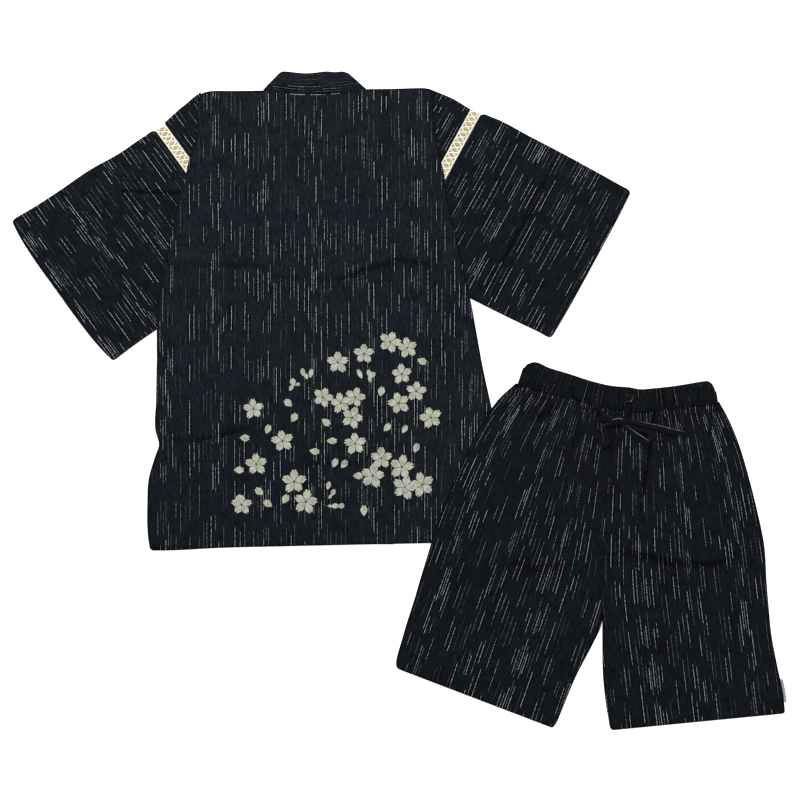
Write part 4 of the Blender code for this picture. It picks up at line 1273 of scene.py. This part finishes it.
def makeLeg(side):
    shares = evenShares(170, 0.002)
    x, down = legGrid(side, shares, evenShares(96, 0.004), -shortsCut["tuckedIn"])
    top = legTop(side, x, down)
    depth = depthInside(x, down, outlineOf(shortsCut[side]))
    height = floorUnderShorts(x, down) + np.maximum(top - 1.1 * ramp(-depth / 1.5), cloth["top"])
    front = clothPiece(shorts, "shorts_front_%s_cloth" % side, (x, down, height), leaning(side, x, down),
                       fabric["shorts"], "shorts_front_" + side)
    # painted shadow under the waistband, beside the fly's free edge and, on the right leg, along the centre
    # seam where the left leg overlaps, all painted in as shade with the dips
    shade = 0.2 * np.exp(-np.clip(down - bandBottom(x), 0.0, None) / 3.5)
    if side == "left":
        beside = depthInside(x, down, outlineOf(shortsCut["fly"]))
        upper = 1.0 - 0.85 * flyFade(down)
        near = hill(np.minimum(beside, 0.0), shortsCut["flyShadeWidth"])
        shade = shade + shortsCut["flyShade"] * upper * (x > 20.0) * near
    else:
        shade = shade + 0.8 * hill(toLine(x, down, [(-3, 56), (-3, 110), (-6, 200)])[0], 1.6)
    dips = legTop(side, x, down, 0.0) - top + shade
    seamed = (down < 45.0) | ((np.abs(x) < 10.0) & (down < 390.0))
    paintShade(front, dips, np.where(seamed, 10.0, depth))
    x, down = legGrid(side, evenShares(90, 0.003), evenShares(30, 0.008), shortsCut["bandSeam"])
    height = floorUnderShorts(x, down) + cloth["top"]
    grain = [part + 1100.0 for part in leaning(side, x, down)]
    back = clothPiece(shorts, "shorts_back_%s_cloth" % side, (x, down, height), grain, fabric["shorts"],
                      "shorts_back_" + side)
    return [front, back]


def flyTop(x, down):
    return legTop("left", x, down, shortsCut["flyWear"]) + cloth["layer"] + shortsCut["flyLift"]


def makeFly():
    x, down = spread(shortsCut["fly"], evenShares(80, 0.005), evenShares(26, 0.03))
    depth = depthInside(x, down, outlineOf(shortsCut["fly"]))
    edge = 1.0 - 0.7 * ramp((down - 205.0) / 30.0)
    height = floorUnderShorts(x, down) + flyTop(x, down) - 0.45 * (1.0 - ramp(depth / 2.2))
    stitch = edge * hill(depth - shortsCut["flyStitch"], 1.2)
    height = height - 0.3 * stitch
    piece = clothPiece(shorts, "fly_cloth", (x, down, height), leaning("left", x, down), fabric["shorts"],
                       "fly")
    # painted shade along the stitching and along the fly's free edge
    outer = np.where(x > 20.0, depth + 10.0 * flyFade(down), 10.0)
    return paintShade(piece, 0.5 * stitch, outer, 3.4)


def bandSurface(depth, ring):
    # flattened ring of elastic casing, gathered in uneven waves that run from edge to edge
    depth, ring = np.broadcast_arrays(depth, ring)
    share, rise, bulge = loopSection(ring)
    at = shortsCut["bandInset"] + (1.0 - 2.0 * shortsCut["bandInset"]) * share
    topX, topDown, lowX, lowDown = [np.interp(at, bandShares, column) for column in bandEnds.T]
    x = topX + (lowX - topX) * depth + sleeves["foldRound"] * bulge
    down = topDown + (lowDown - topDown) * depth
    wave = 0.5 - 0.5 * np.cos(math.tau * shortsCut["bandWaves"] * share)
    uneven = softNoise(share * 31.0, depth * 0.9 + 3.0 * rise, 1.0, 71)
    fine = 0.7 * np.cos(math.tau * (41.0 * share + 0.8 * uneven)) + 0.7 * uneven
    fine = (fine + shortsCut["bandWaveRise"] * (wave - 0.5)) * (0.25 + 0.75 * np.sin(math.pi * depth) ** 0.5)
    upper, lower = shortsCut["bandStitches"]
    seamed = 0.35 * hill(depth - upper, 0.03) + 0.4 * hill(depth - lower, 0.03)
    casing = 0.5 * np.sin(math.pi * depth)
    height = shortsCut["bandHeight"] + casing + shortsCut["bandWaveRise"] * 0.5
    height = height + (fine - seamed) * rise**2
    height = height - 0.6 * (1.0 - ramp(depth / 0.07)) - 2.1 * (1.0 - ramp((1.0 - depth) / 0.22))
    return x, down, floorUnderShorts(x, down) + height * rise, seamed - fine


def makeBand():
    depth = evenShares(26, 0.02)[:, None]
    ring = loopRing(300)[None, :]
    x, down, height, dips = bandSurface(depth, ring)
    lean = shortsCut["bandLean"] * np.concatenate([x, x[:, :1]], axis=1) * depth
    grain = (np.append(ring, 1.0) * shortsCut["bandLength"] - lean, depth * 40.0 + 80.0)
    piece = clothPiece(shorts, "waistband_cloth", (x, down, height), grain, fabric["band"], "waistband",
                       wall=shortsCut["bandWall"], looped=True, flipped=True)
    # painted shade in the band's seams and hollows and along its upper edge
    return paintShade(piece, dips, (depth + (depth > 0.5)) * 40.0, 2.5)


def frontTop(x, down):
    # upper face of whatever lies at a place on the front: the band, the fly or a leg
    x, down = np.asarray(x, dtype=float), np.asarray(down, dtype=float)
    leg = np.where(x < 0.0, legTop("right", x, down, 0.0), legTop("left", x, down, 0.0) + cloth["layer"])
    leg = leg + 0.35
    band = shortsCut["bandHeight"] + 0.5 + shortsCut["bandWaveRise"]
    onBand = ramp((bandBottom(x) + 8.0 - down) / 8.0)
    return floorUnderShorts(x, down) + leg + (np.maximum(band, leg) - leg) * onBand


# Button: four holes sunk in a dished face inside a round rim.

button = {
    "x": 17.0, "down": 18.0, "across": 15.0, "thick": 2.4, "rim": 1.9, "dish": 0.85,
    "holes": 1.7, "holeDepth": 1.1, "apart": 1.9, "holeTurn": 35.0, "thread": (0.3, 0.25),
}


def resin():
    # dark and dull, with a polished coat where the "rim" attribute says so
    material, wire = newMaterial("dark resin", {
        "Specular IOR Level": 0.08, "Coat Roughness": 0.1, "Coat IOR": 1.45,
    })
    swirl = wire.cloud(260.0, 3.0, 1.5).between(0.4, 0.7)
    colour = wire.mixed(swirl, (0.0015, 0.002, 0.0028), (0.006, 0.007, 0.009))
    return wiredUp(material, {"Base Color": colour, "Roughness": 0.35 + 0.2 * wire.cloud(1400.0, 2.0),
                              "Coat Weight": wire.given("rim")})


def buttonHole(k):
    # where a hole lies from the button's middle
    turn = math.radians(button["holeTurn"] + 90.0 * k)
    return button["apart"] * math.cos(turn), button["apart"] * math.sin(turn)


def makeButton(material, thread):
    # turned profile: up the side, over the rim, down into the dish, with the holes as pits
    base = float(frontTop(button["x"], button["down"])) + cloth["gap"]
    half, thick, rim = button["across"] / 2, button["thick"], button["rim"]
    profile = [(0.02, 0.0), (half * 0.8, 0.0), (half * 0.95, 0.25), (half, 0.8), (half, thick - 0.8),
               (half * 0.97, thick - 0.3), (half - 0.9, thick), (half - rim, thick - 0.2),
               (half - rim - 0.6, thick - button["dish"]), (half * 0.35, thick - button["dish"] - 0.1),
               (0.02, thick - button["dish"] - 0.1)]
    rows = smoothTable(profile, np.concatenate([np.linspace(0, 0.72, 30), np.linspace(0.73, 1.0, 26)]))
    turn = np.arange(72) * math.tau / 72
    x = button["x"] + rows[:, 0:1] * np.cos(turn)
    down = button["down"] + rows[:, 0:1] * np.sin(turn)
    height = base + rows[:, 1:2]
    onFace = rows[:, 1:2] > thick * 0.4
    for k in range(4):
        holeX, holeDown = buttonHole(k)
        away = np.hypot(x - button["x"] - holeX, down - button["down"] - holeDown)
        pit = 1.0 - ramp((away - 0.45 * button["holes"]) / 0.35)
        height = height - button["holeDepth"] * pit * onFace
    whole = np.append(turn, 0.0)
    grain = (rows[:, 0:1] * np.cos(whole), rows[:, 0:1] * np.sin(whole))
    disc = clothPiece(shorts, "waist_button_disc", (x, down, height), grain, material, "waist_button",
                      wall=None, slot="button_resin", looped=True)
    polished = ramp((rows[:, 0:1] - half + rim + 1.2) / 0.8) * onFace
    lowerRight = ramp(0.5 + 0.8 * np.cos(turn - math.pi / 4))
    carry(disc, "rim", polished * (0.35 + 0.65 * lowerRight))
    crossing = []
    t = np.linspace(0.0, 1.0, 9)
    for k in (0, 1):
        holeX, holeDown = buttonHole(k)
        lift = base + thick - button["dish"] - 0.5 + 0.75 * np.sin(math.pi * t) ** 0.5 + 0.2 * k
        crossing.append(worldPoints(shorts, button["x"] + holeX * (1.0 - 2.0 * t),
                                    button["down"] + holeDown * (1.0 - 2.0 * t), lift))
    sewn = newPiece("button_thread", [tubeShape(np.array(crossing), button["thread"], sides=7)], [thread])
    return [disc, settle(sewn)]


# Drawstring: two ends of one flat tape, tied in a bow.

drawstring = {
    "width": 9.5, "thick": 1.5, "rise": 1.8, "sides": 20,
    # x and down of each route, from the band outwards
    "rightStrand": [(-46, 24), (-42, 33), (-31, 43), (-19, 52), (-10.5, 55.5)],
    "leftStrand": [(15, 29), (16, 36), (17, 43), (14.5, 48.7)],
    "tail": [(16.5, 56), (30, 58), (52, 61), (80, 65), (104, 69), (119, 70.5)],
    "leftLoop": [(15.5, 60.5), (30, 66), (46, 69), (59, 74), (63, 84), (58, 92), (46, 87), (32, 79), (20, 71),
                 (11.5, 65)],
    "rightLoop": [(-10.5, 60), (-24, 58.5), (-36, 61), (-38, 72), (-30, 90), (-19, 100), (-14, 96), (-17, 84),
                  (-21, 72), (-9.5, 64)],
    # where the tape crosses the knot
    "toTail": [(3, 57)], "toRightLoop": [(4, 55.5)], "toLeftLoop": [(3, 62)],
    "knot": (3.5, 57.0), "knotSize": (24.0, 14.0, 6.0),
    # width, rise, lean and place of each ridge or pinch across the knot
    "knotTurns": [(0.34, 0.07, 1, 0.25, -0.1), (0.1, -0.13, 1, 0.2, 0.42), (0.1, -0.11, 1, 0.2, -0.52),
                  (0.12, -0.05, -0.3, 1, 0)],
}


def spaced(values, at):
    # evenly spaced values read at shares of their length
    return np.interp(at, np.linspace(0.0, 1.0, len(values)), values)


def tapeWay(routes, lifts, count):
    # one smooth line through routes laid end to end, at its height over the front
    at = np.linspace(0.0, 1.0, count)
    x, down = smoothTable([point for route in routes for point in drawstring[route]], at).T
    height = frontTop(x, down) + cloth["gap"] + drawstring["rise"] + spaced(lifts, at)
    return worldPoints(shorts, x, down, height)


def tapePiece(name, path, rolls, narrow, highlit, material):
    # Flat tape swept along its path: the section is a slot with round ends, turned by the roll and
    # narrowed where it is pulled into the knot. A painted highlight lies on the upper face of its left
    # edge where the highlight list is above 0, and of its right edge where it is below.
    side, lift = framed(np.gradient(path, axis=0))
    at = np.linspace(0.0, 1.0, len(path))
    roll = np.radians(spaced(rolls, at))[:, None]
    slim = spaced(narrow, at)[:, None]
    across, up = side * np.cos(roll) + lift * np.sin(roll), lift * np.cos(roll) - side * np.sin(roll)
    turn = np.arange(drawstring["sides"]) * math.tau / drawstring["sides"]
    wide = np.sign(np.cos(turn)) * np.abs(np.cos(turn)) ** 0.7
    high = np.sign(np.sin(turn)) * np.abs(np.sin(turn)) ** 0.45
    wide = wide[None, :] * slim * drawstring["width"] / 2
    high = high[None, :] * drawstring["thick"] / 2 * (2.0 - slim)
    high = high - 0.35 * (wide / drawstring["width"] * 2) ** 2
    points = path[:, None] + 0.001 * (wide[..., None] * across[:, None] + high[..., None] * up[:, None])
    about = np.linspace(0.0, 2.1 * drawstring["width"], drawstring["sides"] + 1)
    shape = gridShape(points, stacked(about + 400.0, runAlong(path)[:, None] * 1000.0), True, True)
    piece = newPiece(name, [capped(shape, drawstring["sides"])], [material])
    shown = spaced(highlit, at)[:, None]
    edge = np.clip(-shown * np.sign(np.cos(turn)), 0.0, 1.0) * 0.92 * hill(np.sin(turn) - 0.31, 0.16)
    return carry(piece, "glint", edge)


def makeDrawstring(material):
    # one end runs through the knot to its tail, the other makes both loops and ends in the knot
    # the last list for each end places a painted highlight along one edge of the tape
    firstWay = tapeWay(["rightStrand", "toTail", "tail"],
                       [0.2, 0.6, 1.4, 1.8, 2.6, 2.2, 1.0, 0.5, 0.2, 0.1], 120)
    first = tapePiece("drawstring_first_end", firstWay, [50, 25, 15, 10, 15, 20, 15, 8, 5, 0],
                      [0.9, 0.8, 0.7, 0.5, 0.6, 0.85, 0.95, 1.0, 1.0, 1.0],
                      [0, 0, 0, 0.3, 0, 0, 0.2, 1, 1, 1, 0.5, 0.1], material)
    settle(first, "drawstring_right", "drawstring_tail")
    secondWay = tapeWay(["leftStrand", "toRightLoop", "rightLoop", "toLeftLoop", "leftLoop"],
                        [0.2, 1.0, 1.8, 1.2, 1.0, 1.4, 1.6, 1.2, 1.4, 1.2, 1.0, 1.4, 1.8, 1.6, 1.2, 1.2], 220)
    second = tapePiece("drawstring_second_end", secondWay,
                       [20, 10, 0, 10, 15, 20, 15, 10, 5, 10, 15, 20, 25, 20, 10, 0],
                       [0.9, 0.7, 0.5, 0.8, 1.2, 1.3, 1.3, 1.1, 0.5, 0.8, 1.15, 1.2, 1.2, 1.25, 1.0, 0.5],
                       [0, 0, 0, 0, 0, 0, 0, 0.1, 0.4, 0.4, 0, 0, 0, 0, 0, -0.25, -0.65, -0.7, -0.45],
                       material)
    settle(second, "drawstring_left", "bow_loop_right", "bow_loop_left")
    return first, firstWay, second, secondWay


def makeKnot(material):
    # a tight wrap of tape: an egg, pinched where the turns of the tape pass over each other
    kx, kd = drawstring["knot"]
    wide, deep, high = [size / 2 for size in drawstring["knotSize"]]
    base = float(frontTop(kx, kd)) + cloth["gap"] + 0.4
    rise = np.linspace(-math.pi / 2, math.pi / 2, 61)[:, None]
    turn = (np.arange(96) * math.tau / 96)[None, :]
    ux, uy, uz = np.cos(rise) * np.cos(turn), np.cos(rise) * np.sin(turn), np.sin(rise)
    wrap = 1.0 + sum(rise * hill(ux * leanX + uy * leanY + aside, width)
                     for width, rise, leanX, leanY, aside in drawstring["knotTurns"])
    x, down = kx + wide * ux * wrap, kd + deep * uy * wrap
    height = base + high * (1.0 + uz * wrap)
    grain = (12.0 * np.append(turn, math.tau) / math.tau + 300.0, 9.0 * rise + 40.0)
    piece = clothPiece(shorts, "bow_knot_cloth", (x, down, height), grain, material, "bow_knot", wall=None,
                       looped=True, flipped=True)
    # a painted highlight arching over the knot's crown
    arch = hill(uy + 0.42 - 0.5 * (ux - 0.05) ** 2, 0.036) * (uz > 0.0) * ramp((0.96 - np.abs(ux)) / 0.12)
    return carry(piece, "glint", 0.62 * arch)


# Bare tape label on the side seam.

label = {"top": 474.0, "length": 39.0, "out": 4.2}


def labelTape():
    material, wire = newMaterial("label tape", {"Roughness": 0.8, "Specular IOR Level": 0.25})
    across, along = wire.grain()
    rib = (along * 1600.0 * math.tau).sine() * (across * 2400.0 * math.tau).sine()
    tone = (0.5 * wire.noise(across, along, 300.0, 2.0) + 0.25 * rib + 0.2).between(0.1, 0.7)
    colour = wire.mixed(tone, (0.22, 0.22, 0.21), (0.46, 0.46, 0.44))
    return wiredUp(material, {"Base Color": colour, "Normal": wire.bump(rib, 0.0001)})


def makeLabel(material):
    down, across = np.meshgrid(evenShares(30, 0.01), evenShares(8, 0.04), indexing="ij")
    edge = smoothTable(shortsCut["left"], 81)
    downs = label["top"] + label["length"] * down
    x = np.interp(downs, edge[:, 3], edge[:, 2]) + cloth["gap"] + label["out"] * across
    height = cloth["top"] + 0.25 - 0.2 * hill(across - 1.0, 0.2) + 0.15 * np.sin(9.0 * down) * across
    return clothPiece(shorts, "side_label_tape", (x, downs, height),
                      (label["out"] * across, label["length"] * down), material, "side_label",
                      slot="label_tape")


def overLegs(x, down):
    return floorUnderShorts(x, down) + np.where(x < 0.0, legTop("right", x, down), legTop("left", x, down))


def overFly(x, down):
    return floorUnderShorts(x, down) + flyTop(x, down)


def makeShortsStitches(thread):
    hem, lines = shortsCut["hem"], []
    for side in ("right", "left"):
        a, b = np.array(shortsCut[side][-1][:2]), np.array(shortsCut[side][-1][2:])
        run = (b - a) / np.linalg.norm(b - a)
        up = np.array([run[1], -run[0]])
        lines.append(laidLine([a + run * 4 + up * hem, b - run * 4 + up * hem], overLegs, 3))
    lines.append(laidLine([(-2.2, row[3]) for row in shortsCut["right"][:6]], overLegs, 3))
    flyEdge = [(row[2] - shortsCut["flyStitch"], row[3]) for row in shortsCut["fly"][:-1]] + [(12, 282)]
    lines.append(laidLine(flyEdge, overFly, 3))
    for depth in shortsCut["bandStitches"]:
        lines.append(stacked(*bandSurface(depth, np.linspace(0.01, 0.48, 150))[:3]))
    return stitched(shorts, "shorts_stitching", lines, thread)


legCloths = [makeLeg("right"), makeLeg("left")]
flyCloth = makeFly()
bandCloth = makeBand()
print("shorts cloth ready")
buttonPieces = makeButton(resin(), thread)
tape = tapeCotton()
firstEnd, firstWay, secondEnd, secondWay = makeDrawstring(tape)
knotCloth = makeKnot(tape)
labelPiece = makeLabel(labelTape())
shortsStitches = makeShortsStitches(thread)
print("drawstring, button and stitches ready")


# The table they lie on.

table = {"half": 40.0, "under": 0.0001}  # metres


def makeTable():
    half = table["half"]
    corners = np.array([(-half, -half), (half, -half), (half, half), (-half, half)])
    material = newMaterial("white paper", {
        "Base Color": (0.93, 0.93, 0.93, 1.0), "Roughness": 0.9,
        "Emission Color": (1.0, 1.0, 1.0, 1.0), "Emission Strength": 0.75,
    })[0]
    shape = (np.insert(corners, 2, -table["under"], axis=1), [np.arange(4)[None, :]], corners)
    newPiece("table", [shape], [material])


makeTable()
